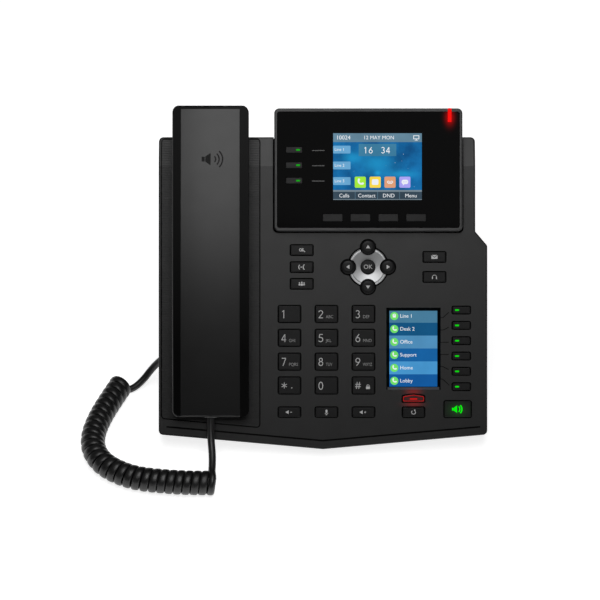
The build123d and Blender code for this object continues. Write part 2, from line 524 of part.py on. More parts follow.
feet = []
for x, y in ((-70, 25.6), (70, 25.6), (-52, 119.0), (52, 119.0), (-52, 151.0), (52, 151.0)):
    feet.append(extrude(Pos(x, y, 0) * RectangleRounded(18, 7.6, 2.5), foot_height, dir=(0, 0, 1)))

# ---- cord: the curly part on the desk, and a straight lead at each of its ends -----------
coil_z = coil_d / 2 + 0.1
coil_route = [(-70.8, -26.2, coil_z), (-84.4, -26.2, coil_z), (-99.7, -25.1, coil_z), (-121.6, -22.0, coil_z), (-139.4, -11.7, coil_z),
              (-147.4, 1.8, coil_z), (-148.1, 15.8, coil_z), (-143.7, 32.1, coil_z), (-136.0, 50.1, coil_z), (-131.4, 59.8, coil_z)]
lead_a_route = [at(handset_x, plug_y0, plug_z), at(handset_x, plug_y0 - 12.0, plug_z), (-70.6, -8.5, 17.0), (-70.4, -17.6, 14.3), (-70.9, -26.2, 13.2)]
lead_b_route = [at(phone_jack_x, base_plug_y0, line_z), at(phone_jack_x, base_plug_y0 - 10.8, line_z), (-90.6, 65.2, 40.2), (-97.0, 67.6, 30.8),
                (-105.0, 70.5, 21.3), (-112.0, 69.6, 12.6), (-118.3, 64.6, 5.6), (-125.8, 59.6, 2.4)]


def corner_radii(pts, name):
    radii = []
    for i in range(1, len(pts) - 1):
        a, b, c = Vector(*pts[i - 1]), Vector(*pts[i]), Vector(*pts[i + 1])
        turn = radians((b - a).get_angle(c - b))
        radii.append(0.45 * min((b - a).length, (c - b).length) / tan(turn / 2))
    print(name, "radii", [round(r, 1) for r in radii])
    return radii


def tube(pts, d, name):
    path = FilletPolyline(*pts, radius=corner_radii(pts, name))
    t = sweep((path ^ 0) * Circle(d / 2), path=path)
    print(name, "length", round(path.length, 1), "volume ratio", round(t.volume / (pi * d * d / 4 * path.length), 4))
    return t


coil = tube(coil_route, coil_d, "coil")
lead_a = tube(lead_a_route, cord_d, "lead a")
lead_b = tube(lead_b_route, cord_d, "lead b")

# ---- centre the phone, without its cord, over the origin, and write the pieces ---------------
y_lo = min(s.bounding_box().min.Y for k, s in low.items() if k not in ("handset_plug", "base_plug"))
y_hi = max(s.bounding_box().max.Y for k, s in low.items() if k not in ("handset_plug", "base_plug"))
shift = -(y_lo + y_hi) / 2
print("shift", shift, "depth", y_hi - y_lo)


def write(name, shapes):
    shapes = [Pos(0, shift, 0) * s for s in shapes]
    solids = [x for s in shapes for x in s.solids()]
    out = solids[0] if len(solids) == 1 else Compound(children=solids)
    out.label = name
    export_step(out, os.path.join("parts", name + ".step"))


for name, shape in low.items():
    write(name, [shape])
write("housing_screws", screws)
write("rubber_feet", feet)
write("handset_cord_coil", [coil])
write("handset_cord_leads", [lead_a, lead_b])
print(len(os.listdir("parts")), "pieces")
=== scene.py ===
import math

import bmesh
import bpy
from mathutils import Matrix, Vector


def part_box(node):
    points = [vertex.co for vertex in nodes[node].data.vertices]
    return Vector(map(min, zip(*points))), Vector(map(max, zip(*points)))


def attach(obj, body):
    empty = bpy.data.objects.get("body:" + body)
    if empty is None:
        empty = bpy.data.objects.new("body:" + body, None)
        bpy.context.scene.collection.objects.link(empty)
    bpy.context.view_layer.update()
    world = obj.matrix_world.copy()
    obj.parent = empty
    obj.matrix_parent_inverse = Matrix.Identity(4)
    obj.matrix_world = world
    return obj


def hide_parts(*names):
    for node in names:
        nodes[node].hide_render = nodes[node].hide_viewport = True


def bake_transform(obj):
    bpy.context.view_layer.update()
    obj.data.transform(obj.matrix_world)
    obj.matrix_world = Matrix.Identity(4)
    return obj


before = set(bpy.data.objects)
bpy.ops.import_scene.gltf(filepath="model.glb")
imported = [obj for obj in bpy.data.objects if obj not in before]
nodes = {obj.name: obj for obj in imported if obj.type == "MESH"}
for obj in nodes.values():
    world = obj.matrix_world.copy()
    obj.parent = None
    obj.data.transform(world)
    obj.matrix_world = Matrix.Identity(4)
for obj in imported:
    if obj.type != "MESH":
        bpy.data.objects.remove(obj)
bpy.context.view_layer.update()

# ---------------------------------------------------------------- the face frame
# x to the right, v up the sloping face, w out of it, all in mm, as the CAD's pieces are drawn
C45 = math.cos(math.radians(45.0))
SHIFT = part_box("display_window")[1].y * 1000 - (215.8 - 3.2) * C45
F = Matrix.Translation((0, SHIFT / 1000, 0.011)) @ Matrix.Rotation(math.radians(45.0), 4, "X") @ Matrix.Scale(0.001, 4)


def P(x, v, w):
    return F @ Vector((x, v, w))


def D(x, y, z):
    """a point of the desk frame, in mm before the phone is centred over the origin"""
    return Vector((x, y + SHIFT, z)) / 1000


# ---------------------------------------------------------------- materials
class Nodes:
    def __init__(self, name):
        self.mat = bpy.data.materials.new(name)
        self.mat.use_nodes = True
        self.nt = self.mat.node_tree
        self.nt.nodes.clear()
        self.out = self.nt.nodes.new("ShaderNodeOutputMaterial")
        self.b = self.nt.nodes.new("ShaderNodeBsdfPrincipled")
        self.nt.links.new(self.b.outputs[0], self.out.inputs[0])
        self.co = self.nt.nodes.new("ShaderNodeTexCoord").outputs["Object"]

    def n(self, kind, **sockets):
        node = self.nt.nodes.new(kind)
        for k, v in sockets.items():
            if hasattr(node, k) and k not in ("scale",):
                setattr(node, k, v)
        return node

    def link(self, a, b):
        self.nt.links.new(a, b)
        return b

    def math(self, op, a, b=None, c=None, clamp=False):
        node = self.nt.nodes.new("ShaderNodeMath")
        node.operation = op
        node.use_clamp = clamp
        for i, v in enumerate((a, b, c)):
            if v is None:
                continue
            if isinstance(v, (int, float)):
                node.inputs[i].default_value = v
            else:
                self.link(v, node.inputs[i])
        return node.outputs[0]

    def noise(self, scale, detail=2.0, rough=0.5, co=None):
        node = self.nt.nodes.new("ShaderNodeTexNoise")
        node.inputs["Scale"].default_value = scale
        node.inputs["Detail"].default_value = detail
        node.inputs["Roughness"].default_value = rough
        self.link(co or self.co, node.inputs["Vector"])
        return node.outputs[0]

    def remap(self, v, a, b, c, d):
        node = self.nt.nodes.new("ShaderNodeMapRange")
        node.clamp = True
        for i, x in enumerate((a, b, c, d)):
            node.inputs[i + 1].default_value = x
        self.link(v, node.inputs[0])
        return node.outputs[0]

    def mix(self, fac, a, b):
        node = self.nt.nodes.new("ShaderNodeMix")
        node.data_type = "RGBA"
        self.link(fac, node.inputs[0])
        for i, v in ((6, a), (7, b)):
            if isinstance(v, (tuple, list)):
                node.inputs[i].default_value = (*v[:3], 1)
            else:
                self.link(v, node.inputs[i])
        return node.outputs[2]

    def face(self):
        """sockets of the face frame's x, v and w, in mm"""
        sep = self.nt.nodes.new("ShaderNodeSeparateXYZ")
        self.link(self.co, sep.inputs[0])
        y = self.math("SUBTRACT", sep.outputs[1], SHIFT / 1000)
        z = self.math("SUBTRACT", sep.outputs[2], 0.011)
        v = self.math("MULTIPLY", self.math("ADD", y, z), 1000 * C45)
        w = self.math("MULTIPLY", self.math("SUBTRACT", z, y), 1000 * C45)
        return self.math("MULTIPLY", sep.outputs[0], 1000), v, w

    def bump(self, height, strength, distance, normal=None):
        node = self.nt.nodes.new("ShaderNodeBump")
        node.inputs["Strength"].default_value = strength
        node.inputs["Distance"].default_value = distance
        self.link(height, node.inputs["Height"])
        if normal is not None:
            self.link(normal, node.inputs["Normal"])
        return node.outputs[0]

    def patch(self, tests, colour, spec):
        """another colour and specular level where every test holds, each one (">" or "<", socket, limit); here it lays
        painted shade and a painted highlight on the cover
        """
        mask = None
        for sign, socket, limit in tests:
            hit = self.math("GREATER_THAN" if sign == ">" else "LESS_THAN", socket, limit)
            mask = hit if mask is None else self.math("MULTIPLY", mask, hit)
        self.cover_with(mask, colour, spec)

    def cover_with(self, mask, colour, spec):
        base = self.b.inputs["Base Color"]
        under = base.links[0].from_socket
        self.link(self.mix(mask, under, colour), base)
        level = self.b.inputs["Specular IOR Level"]
        if level.links:
            low = level.links[0].from_socket
            node = self.nt.nodes.new("ShaderNodeMix")
            self.link(low, node.inputs[2])
            node.inputs[3].default_value = spec
            self.link(mask, node.inputs[0])
            self.link(node.outputs[0], level)
        else:
            self.link(self.remap(mask, 0.0, 1.0, level.default_value, spec), level)

    def halo(self, spots):
        """1 in the middle of each spot, fading outwards: spots are (x, v, radius x, radius v) in the face frame"""
        x, v, w = self.face()
        total = None
        for cx, cv, rx, rv in spots:
            dx = self.math("DIVIDE", self.math("SUBTRACT", x, cx), rx)
            dv = self.math("DIVIDE", self.math("SUBTRACT", v, cv), rv)
            r2 = self.math("ADD", self.math("MULTIPLY", dx, dx), self.math("MULTIPLY", dv, dv))
            g = self.math("POWER", 2.718, self.math("MULTIPLY", r2, -1.0))
            total = g if total is None else self.math("ADD", total, g)
        return total

    def glow(self, spots, colour, strength):
        """soft light on the surface, in spots"""
        amount = self.math("MULTIPLY", self.halo(spots), strength)
        self.b.inputs["Emission Strength"].default_value = 1.0
        self.link(self.mix(self.math("MINIMUM", amount, 1.0), (0, 0, 0), colour), self.b.inputs["Emission Color"])


def plastic(name, colour, rough=0.5, grain=2600.0, depth=0.00004, spec=0.35, vary=0.12, coat=0.0, bump=0.25, wander=0.05):
    """moulded plastic: a fine eroded grain, faint mottling and a roughness that drifts a little"""
    m = Nodes(name)
    broad = m.noise(35.0, 3.0)
    fine = m.noise(grain, 2.0, 0.6)
    k = 1 + vary
    m.link(m.mix(broad, tuple(c / k for c in colour), tuple(c * k for c in colour)), m.b.inputs["Base Color"])
    m.link(m.remap(m.noise(90.0, 4.0), 0.3, 0.7, rough - wander, rough + wander), m.b.inputs["Roughness"])
    m.b.inputs["Specular IOR Level"].default_value = spec
    m.b.inputs["Coat Weight"].default_value = coat
    m.b.inputs["Coat Roughness"].default_value = 0.08
    m.link(m.bump(fine, bump, depth), m.b.inputs["Normal"])
    return m


def lit(name, colour, strength, rough=0.35, back=None):
    """a lit window of clear or coloured plastic, its light varying a little in a fine grain"""
    m = Nodes(name)
    m.b.inputs["Base Color"].default_value = (*(back or tuple(c * 0.25 for c in colour)), 1)
    m.b.inputs["Roughness"].default_value = rough
    m.b.inputs["Specular IOR Level"].default_value = 0.05
    m.link(m.mix(m.noise(700.0, 2.0), tuple(c * 0.88 for c in colour), colour), m.b.inputs["Emission Color"])
    m.b.inputs["Emission Strength"].default_value = strength
    return m


def srgb(r, g, b):
    return tuple((c / 255 / 12.92) if c / 255 <= 0.04045 else ((c / 255 + 0.055) / 1.055) ** 2.4 for c in (r, g, b))


cover = plastic("front_cover_plastic", (0.0022, 0.0022, 0.0023), rough=0.408, spec=0.42, wander=0.02)
# painted glow: red light from the page key is painted onto the cover above and below it, as emission
cover.glow([(57.9, 37.0, 4.6, 1.9), (57.9, 28.9, 5.4, 1.6)], (0.13, 0.0, 0.0), 1.0)
# the bevelled walls round the side screen: painted shade makes them black on three sides, and a painted highlight makes
# them lighter along the bottom, which faces up to the lamp
_x, _v, _w = cover.face()
cover.patch([(">", _x, 40.2), ("<", _x, 75.6), (">", _v, 37.8), ("<", _v, 91.0), ("<", _w, -0.06)], (0.0012, 0.0012, 0.0012), 0.02)
cover.patch([(">", _x, 41.3), ("<", _x, 74.5), (">", _v, 37.8), ("<", _v, 39.85), ("<", _w, -0.06)], (0.085, 0.085, 0.087), 0.2)
rear_mat = plastic("rear_cover_plastic", (0.017, 0.017, 0.0174), rough=0.6, spec=0.3, grain=1500, depth=0.00008)
stand_mat = plastic("stand_plastic", (0.017, 0.017, 0.0174), rough=0.6, spec=0.3, grain=1500, depth=0.00008)
rim_mat = plastic("display_rim_plastic", (0.017, 0.017, 0.0175), rough=0.42, spec=0.50, bump=0.1)
HANDSET_HALF_W, HANDSET_HALF_L = 24.3, 99.1
handset_mat = plastic("handset_plastic", (0.0030, 0.0030, 0.0031), rough=0.32, spec=0.395, bump=0.12, wander=0.015)
# the handset's side bevels and its top end are polished black, drawn with no specular: painted sheen stands in for
# their reflections, lighter towards the top and on the right side than on the left; a paler painted highlight runs
# along the left and bottom rims
_x, _v, _w = handset_mat.face()
_off = handset_mat.math("ABSOLUTE", handset_mat.math("ADD", _x, 71.7))
_sides = handset_mat.math("GREATER_THAN", _off, 18.85)
_end = handset_mat.math("GREATER_THAN", _v, 216.8)
_high = handset_mat.remap(_v, 62.0, 208.0, 0.0, 1.0)
_left = handset_mat.mix(_high, (0.0034, 0.0034, 0.0034), (0.0146, 0.0146, 0.0146))
_right = handset_mat.mix(_high, (0.0045, 0.0045, 0.0045), (0.0220, 0.0220, 0.0220))
_bevel_black_painted_sheen = handset_mat.mix(handset_mat.math("GREATER_THAN", _x, -71.7), _left, _right)
handset_mat.cover_with(handset_mat.math("MAXIMUM", _sides, _end), _bevel_black_painted_sheen, 0.0)
# painted highlight: the mask below picks a thin line along the left rim and the bottom rim, painted paler
_bow = handset_mat.math("POWER", handset_mat.math("MULTIPLY", handset_mat.math("SUBTRACT", _v, 120.2), 1 / 99.1), 2.0)
_above = handset_mat.math("ADD", _w, handset_mat.math("MULTIPLY", _bow, 4.5))
_qx = handset_mat.math("SUBTRACT", _off, HANDSET_HALF_W - 4.2)
_qv = handset_mat.math("SUBTRACT", handset_mat.math("ABSOLUTE", handset_mat.math("SUBTRACT", _v, 120.2)), HANDSET_HALF_L - 4.2)
_px, _pv = handset_mat.math("MAXIMUM", _qx, 0.0), handset_mat.math("MAXIMUM", _qv, 0.0)
_corner = handset_mat.math("SQRT", handset_mat.math("ADD", handset_mat.math("MULTIPLY", _px, _px), handset_mat.math("MULTIPLY", _pv, _pv)))
_rim = handset_mat.math("GREATER_THAN", _corner, 4.2 - 0.62)
for _sign, _socket, _limit in (("GREATER_THAN", _above, 14.3), ("LESS_THAN", _x, -53.0), ("LESS_THAN", _v, 213.5), ("LESS_THAN", handset_mat.math("MINIMUM", handset_mat.math("ADD", _x, 85.0), handset_mat.math("SUBTRACT", _v, 30.0)), 0.0)):
    _rim = handset_mat.math("MULTIPLY", _rim, handset_mat.math(_sign, _socket, _limit))
handset_mat.cover_with(_rim, (0.030, 0.030, 0.030), 0.3)
keycap_mat = plastic("keycap_plastic", (0.0045, 0.0045, 0.0047), rough=0.42, spec=0.20, bump=0.12)
lens_key_mat = plastic("display_key_plastic", (0.0090, 0.0090, 0.0092), rough=0.46, spec=0.22, bump=0.1)
ribs_mat = plastic("cradle_rib_plastic", (0.0085, 0.0085, 0.0087), rough=0.5, spec=0.30, bump=0.1)
dark_line = plastic("groove_black", (0.0028, 0.0028, 0.0028), rough=0.7, spec=0.04, bump=0.1)
gap_black = plastic("shadow_gap_black", (0.0014, 0.0014, 0.0014), rough=0.8, spec=0.02, bump=0.1)

window = Nodes("display_window_gloss")
window.b.inputs["Base Color"].default_value = (0.0021, 0.0021, 0.0022, 1)
window.b.inputs["Specular IOR Level"].default_value = 0.012
window.link(window.remap(window.noise(14.0, 4.0), 0.3, 0.7, 0.05, 0.11), window.b.inputs["Roughness"])
window.link(window.bump(window.noise(60.0, 2.0), 0.04, 0.0001), window.b.inputs["Normal"])
# painted glow: red light from the message lamp is painted onto the window round it, as emission
window.glow([(80.85, 212.0, 2.5, 4.2)], (0.42, 0.0, 0.0), 1.0)

ring_mat = Nodes("brushed_ring_metal")
ring_mat.b.inputs["Metallic"].default_value = 1.0
_x, _v, _w = ring_mat.face()
_dx = ring_mat.math("SUBTRACT", _x, 28.8)
_dv = ring_mat.math("SUBTRACT", _v, 116.7)
_r = ring_mat.math("SQRT", ring_mat.math("ADD", ring_mat.math("MULTIPLY", _dx, _dx), ring_mat.math("MULTIPLY", _dv, _dv)))
_comb = ring_mat.nt.nodes.new("ShaderNodeCombineXYZ")
ring_mat.link(_r, _comb.inputs[0])
_turned = ring_mat.noise(9.0, 4.0, 0.7, co=_comb.outputs[0])
ring_mat.link(ring_mat.mix(_turned, (0.40, 0.405, 0.41), (0.47, 0.475, 0.48)), ring_mat.b.inputs["Base Color"])
ring_mat.link(ring_mat.remap(_turned, 0.3, 0.7, 0.41, 0.49), ring_mat.b.inputs["Roughness"])
ring_mat.link(ring_mat.bump(_turned, 0.35, 0.00006), ring_mat.b.inputs["Normal"])

speaker_mat = plastic("speaker_key_plastic", (0.0045, 0.0045, 0.0047), rough=0.42, spec=0.20, bump=0.12)
# painted glow: green light from the lit speaker symbol is painted onto the key round it, as emission
speaker_mat.glow([(86.15, 25.4, 5.4, 4.0)], (0.004, 0.040, 0.004), 1.0)
page_mat = plastic("page_key_plastic", (0.016, 0.004, 0.004), rough=0.4, spec=0.3, bump=0.1)
# painted glow: red light from the lit outline and bar is painted onto the key, as emission
page_mat.glow([(57.9, 32.4, 5.5, 2.2)], (0.035, 0.0, 0.0), 1.0)
lamp_mat = lit("message_lamp_red", (1.0, 0.0010, 0.0), 0.98, back=(0.03, 0.0, 0.0))
led_mat = lit("led_green", (0.001, 0.82, 0.002), 0.86, back=(0.0, 0.04, 0.0))
line_led_mat = lit("line_led_green", (0.001, 0.82, 0.002), 0.46, back=(0.0, 0.03, 0.0))
red_mat = lit("page_light_red", (0.50, 0.003, 0.003), 1.0, back=(0.05, 0.0, 0.0))
icon_green = lit("speaker_light_green", (0.001, 0.93, 0.003), 1.0, back=(0.0, 0.05, 0.0))

rubber = plastic("foot_rubber", (0.012, 0.012, 0.012), rough=0.85, spec=0.2, grain=900, depth=0.0001)
board_mat = plastic("board_solder_mask", (0.006, 0.045, 0.018), rough=0.35, spec=0.5, bump=0.05)
screw_mat = plastic("screw_zinc", (0.42, 0.42, 0.44), rough=0.32, bump=0.1)
screw_mat.b.inputs["Metallic"].default_value = 1.0
gold = plastic("contact_gold", (0.80, 0.55, 0.20), rough=0.28, bump=0.05)
gold.b.inputs["Metallic"].default_value = 1.0
plug_mat = plastic("plug_clear", (0.55, 0.56, 0.57), rough=0.18, spec=0.5, bump=0.03)
plug_mat.b.inputs["Transmission Weight"].default_value = 0.55
cord_mat = plastic("cord_jacket", (0.0040, 0.0040, 0.0042), rough=0.38, spec=0.54, grain=900, depth=0.00003, bump=0.2)
legend = plastic("legend_grey", (0.52, 0.52, 0.52), rough=0.6, spec=0.2, bump=0.05, vary=0.05)
legend_dim = plastic("legend_dim_grey", (0.26, 0.26, 0.26), rough=0.6, spec=0.2, bump=0.05, vary=0.05)
print_grey = plastic("printed_line_grey", (0.115, 0.115, 0.115), rough=0.6, spec=0.2, bump=0.05, vary=0.05)
mark_mat = plastic("handset_mark_dark", (0.0085, 0.0085, 0.0085), rough=0.6, spec=0.15, bump=0.1)


def screen(name, colour, strength=1.0, drift=0.0, other=None):
    m = Nodes(name)
    m.b.inputs["Base Color"].default_value = (0.003, 0.003, 0.003, 1)
    m.b.inputs["Roughness"].default_value = 0.12
    m.b.inputs["Specular IOR Level"].default_value = 0.012
    m.b.inputs["Emission Strength"].default_value = strength
    lo = tuple(c * (1 - drift) for c in colour)
    hi = other or tuple(min(1.0, c * (1 + drift)) for c in colour)
    m.link(m.mix(m.remap(m.noise(70.0, 5.0, 0.6), 0.35, 0.68, 0.0, 1.0), lo, hi), m.b.inputs["Emission Color"])
    return m


SCREEN = {
    "sky": screen("screen_sky", srgb(6, 78, 132), drift=0.05, other=srgb(18, 114, 176)),
    "bar": screen("screen_bar", srgb(98, 132, 152), drift=0.10),
    "foot": screen("screen_foot", srgb(52, 70, 84), drift=0.15),
    "foot_hi": screen("screen_foot_high", srgb(118, 134, 144), drift=0.08),
    "tag": screen("screen_tag", srgb(104, 166, 208), drift=0.06),
    "pane": screen("screen_pane", srgb(60, 124, 158), drift=0.10),
    "white": screen("screen_white", srgb(236, 240, 244), drift=0.02),
    "soft_white": screen("screen_soft_white", srgb(196, 210, 222), drift=0.02),
    "lime": screen("screen_lime", srgb(164, 234, 58), drift=0.06),
    "yellow": screen("screen_yellow", srgb(248, 216, 72), drift=0.06),
    "copper": screen("screen_copper", srgb(220, 156, 118), drift=0.06),
    "lilac": screen("screen_lilac", srgb(168, 162, 242), drift=0.06),
    "disc": screen("screen_disc", srgb(112, 222, 104), drift=0.05),
}
_sky = SCREEN["sky"]
_sky.link(_sky.mix(_sky.math("MINIMUM", _sky.math("MULTIPLY", _sky.halo([(34.5, 182.8, 9.5, 6.5), (51.0, 176.0, 9.0, 2.2), (34.9, 176.6, 1.7, 1.4), (18.5, 186.5, 6.0, 3.5)]), 0.6), 0.9),
                   _sky.b.inputs["Emission Color"].links[0].from_socket, srgb(30, 160, 214)), _sky.b.inputs["Emission Color"])
BANDS = [srgb(70, 122, 152), srgb(18, 82, 126), srgb(78, 140, 184), srgb(22, 96, 160), srgb(70, 148, 204), srgb(18, 88, 156)]
BAND_MATS = [screen(f"screen_band_{i + 1}", c, drift=0.06) for i, c in enumerate(BANDS)]

# ---------------------------------------------------------------- CAD nodes get their materials
by_node = {
    "front_cover": cover, "rear_cover": rear_mat, "desk_stand": stand_mat, "display_bezel": rim_mat, "display_window": window,
    "main_display": gap_black, "side_display": gap_black, "nav_ring": ring_mat, "message_light": lamp_mat, "handset_back": handset_mat,
    "handset_front": handset_mat, "hook_switch": keycap_mat, "circuit_board": board_mat, "rubber_feet": rubber, "housing_screws": screw_mat,
    "handset_plug": plug_mat, "base_plug": plug_mat, "speaker_key": speaker_mat, "page_key": page_mat,
}
for name, ob in nodes.items():
    m = by_node.get(name)
    if m is None:
        m = lens_key_mat if name.startswith(("soft_key", "line_key")) else keycap_mat
    if not ob.data.materials:
        ob.data.materials.append(m.mat)
    for s in ob.material_slots:
        s.material = m.mat


# ---------------------------------------------------------------- small solids drawn on the face
def finish_mesh(name, me, mats, body, face=True, smooth=False):
    bm = bmesh.new()
    bm.from_mesh(me)
    bmesh.ops.remove_doubles(bm, verts=bm.verts, dist=0.0005 if face else 1e-7)
    bmesh.ops.recalc_face_normals(bm, faces=bm.faces)
    bm.to_mesh(me)
    bm.free()
    if face:
        me.transform(F)
    for p in me.polygons:
        p.use_smooth = smooth
    if not me.materials:
        for m in mats:
            me.materials.append(m.mat)
    ob = bpy.data.objects.new(name, me)
    bpy.context.scene.collection.objects.link(ob)
    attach(ob, body)
    return ob


def filled(outlines, z0, z1):
    """a closed slab of the outlines, (x, v) in mm; an outline inside another is a hole"""
    cu = bpy.data.curves.new("outline", "CURVE")
    cu.dimensions = "2D"
    cu.fill_mode = "BOTH"
    cu.extrude = (z1 - z0) / 2
    for pts in outlines:
        sp = cu.splines.new("POLY")
        sp.points.add(len(pts) - 1)
        for p, (x, y) in zip(sp.points, pts):
            p.co = (x, y, 0, 1)
        sp.use_cyclic_u = True
    ob = bpy.data.objects.new("outline", cu)
    me = bpy.data.meshes.new_from_object(ob)
    bpy.data.objects.remove(ob)
    bpy.data.curves.remove(cu)
    me.transform(Matrix.Translation((0, 0, (z0 + z1) / 2)))
    return me


def words(text, x, v, size, z0, z1, align="LEFT", squeeze=1.0, thin=0.0, width=None, base=False):
    cu = bpy.data.curves.new("words", "FONT")
    cu.body = text
    cu.size = size
    cu.offset = -thin
    cu.extrude = (z1 - z0) / 2
    cu.resolution_u = 3
    cu.align_x = align
    cu.align_y = "TOP_BASELINE" if base else "CENTER"
    ob = bpy.data.objects.new("words", cu)
    me = bpy.data.meshes.new_from_object(ob)
    bpy.data.objects.remove(ob)
    bpy.data.curves.remove(cu)
    if width:
        xs = [p.co.x for p in me.vertices]
        squeeze = width / (max(xs) - min(xs))
    me.transform(Matrix.Translation((x, v, (z0 + z1) / 2)) @ Matrix.Diagonal((squeeze, 1, 1, 1)))
    return me


def joined(meshes):
    """one mesh of several, each with its own material index if it is given as (mesh, index)"""
    bm = bmesh.new()
    for item in meshes:
        me, index = item if isinstance(item, tuple) else (item, 0)
        start = len(bm.faces)
        bm.from_mesh(me)
        bm.faces.ensure_lookup_table()
        for f in bm.faces[start:]:
            f.material_index = index
        bpy.data.meshes.remove(me)
    out = bpy.data.meshes.new("joined")
    bm.to_mesh(out)
    bm.free()
    return out


def circle(cx, cy, r, n=28, a0=0.0):
    return [(cx + r * math.cos(a0 + 2 * math.pi * i / n), cy + r * math.sin(a0 + 2 * math.pi * i / n)) for i in range(n)]


def rect(x0, x1, y0, y1):
    return [(x0, y0), (x1, y0), (x1, y1), (x0, y1)]


def rrect(x0, x1, y0, y1, r, n=5):
    pts = []
    for cx, cy, a in ((x1 - r, y0 + r, -90), (x1 - r, y1 - r, 0), (x0 + r, y1 - r, 90), (x0 + r, y0 + r, 180)):
        for i in range(n + 1):
            t = math.radians(a + 90 * i / n)
            pts.append((cx + r * math.cos(t), cy + r * math.sin(t)))
    return pts


def stroke(pts, w):
    """the outline of a line of width w through the points"""
    left, right = [], []
    for i, (x, y) in enumerate(pts):
        a = pts[max(i - 1, 0)]
        b = pts[min(i + 1, len(pts) - 1)]
        dx, dy = b[0] - a[0], b[1] - a[1]
        n = math.hypot(dx, dy) or 1.0
        left.append((x - dy / n * w / 2, y + dx / n * w / 2))
        right.append((x + dy / n * w / 2, y - dx / n * w / 2))
    return left + right[::-1]


def arc(cx, cy, r, a0, a1, n=12):
    return [(cx + r * math.cos(math.radians(a0 + (a1 - a0) * i / n)), cy + r * math.sin(math.radians(a0 + (a1 - a0) * i / n))) for i in range(n + 1)]


def move(pts, dx, dy, k=1.0, turn=0.0):
    c, s = math.cos(math.radians(turn)), math.sin(math.radians(turn))
    return [(dx + k * (x * c - y * s), dy + k * (x * s + y * c)) for x, y in pts]


def digit(n, x, v, k, z0, z1, w=0.46):
    """a figure drawn with a fine pen, 3 wide and 5.1 high times k, its foot at (x, v)"""
    ring = lambda cx, cy, rx, ry: [[(cx + (rx + s * w / 2) * math.cos(2 * math.pi * i / 32), cy + (ry + s * w / 2) * math.sin(2 * math.pi * i / 32)) for i in range(32)] for s in (1, -1)]
    pen = lambda *pts: [stroke(list(pts), w)]
    shapes = {
        "0": [ring(1.5, 2.55, 1.25, 2.32)],
        "1": [pen((1.5, 0), (1.5, 5.1)), pen((0.45, 4.05), (1.5, 4.95))],
        "2": [[stroke(arc(1.42, 3.62, 1.25, 168, -38, 16) + [(0.3, 0.35)], w)], pen((0.15, 0.23), (2.85, 0.23))],
        "3": [[stroke(arc(1.3, 3.78, 1.1, 152, -88, 16), w)], [stroke(arc(1.3, 1.46, 1.24, 88, -152, 16), w)]],
        "4": [pen((2.2, 0), (2.2, 5.0)), pen((2.2, 4.95), (0.1, 1.5)), pen((0.0, 1.4), (3.0, 1.4))],
        "5": [pen((2.7, 4.87), (0.7, 4.87)), pen((0.78, 4.95), (0.52, 2.7)), [stroke(arc(1.35, 1.62, 1.4, 126, -148, 18), w)]],
        "6": [ring(1.5, 1.56, 1.3, 1.33), pen((2.35, 5.0), (1.3, 3.75), (0.5, 2.55), (0.24, 1.7))],
        "7": [pen((0.2, 4.87), (2.85, 4.87)), pen((2.75, 4.85), (0.95, 0.0))],
        "8": [ring(1.5, 3.86, 1.0, 1.03), ring(1.5, 1.47, 1.24, 1.26)],
        "9": [ring(1.5, 3.54, 1.3, 1.33), pen((0.65, 0.1), (1.7, 1.35), (2.5, 2.55), (2.76, 3.4))],
    }
    return [filled([move(o, x, v, k) for o in group], z0, z1) for group in shapes[n]]


# ---------------------------------------------------------------- icons: groups of outlines about (0, 0), mm
def handset_icon(k=1.0, turn=0.0):
    half = [(0.0, -1.15), (0.75, -1.0), (1.35, -0.55), (1.8, 0.05), (1.85, 0.5), (1.6, 0.8), (1.1, 0.78), (0.85, 0.5), (0.75, 0.12), (0.5, -0.2), (0.0, -0.35)]
    return move(half + [(-x, y) for x, y in half[-2:0:-1]], 0, 0.1 * k, k, turn)


def speaker_icon(k=1.0, dx=0.0):
    return [move([(-1.5, -0.5), (-0.85, -0.5), (-0.85, 0.5), (-1.5, 0.5)], dx, 0, k), move([(-0.72, -0.62), (0.35, -1.35), (0.35, 1.35), (-0.72, 0.62)], dx, 0, k)]


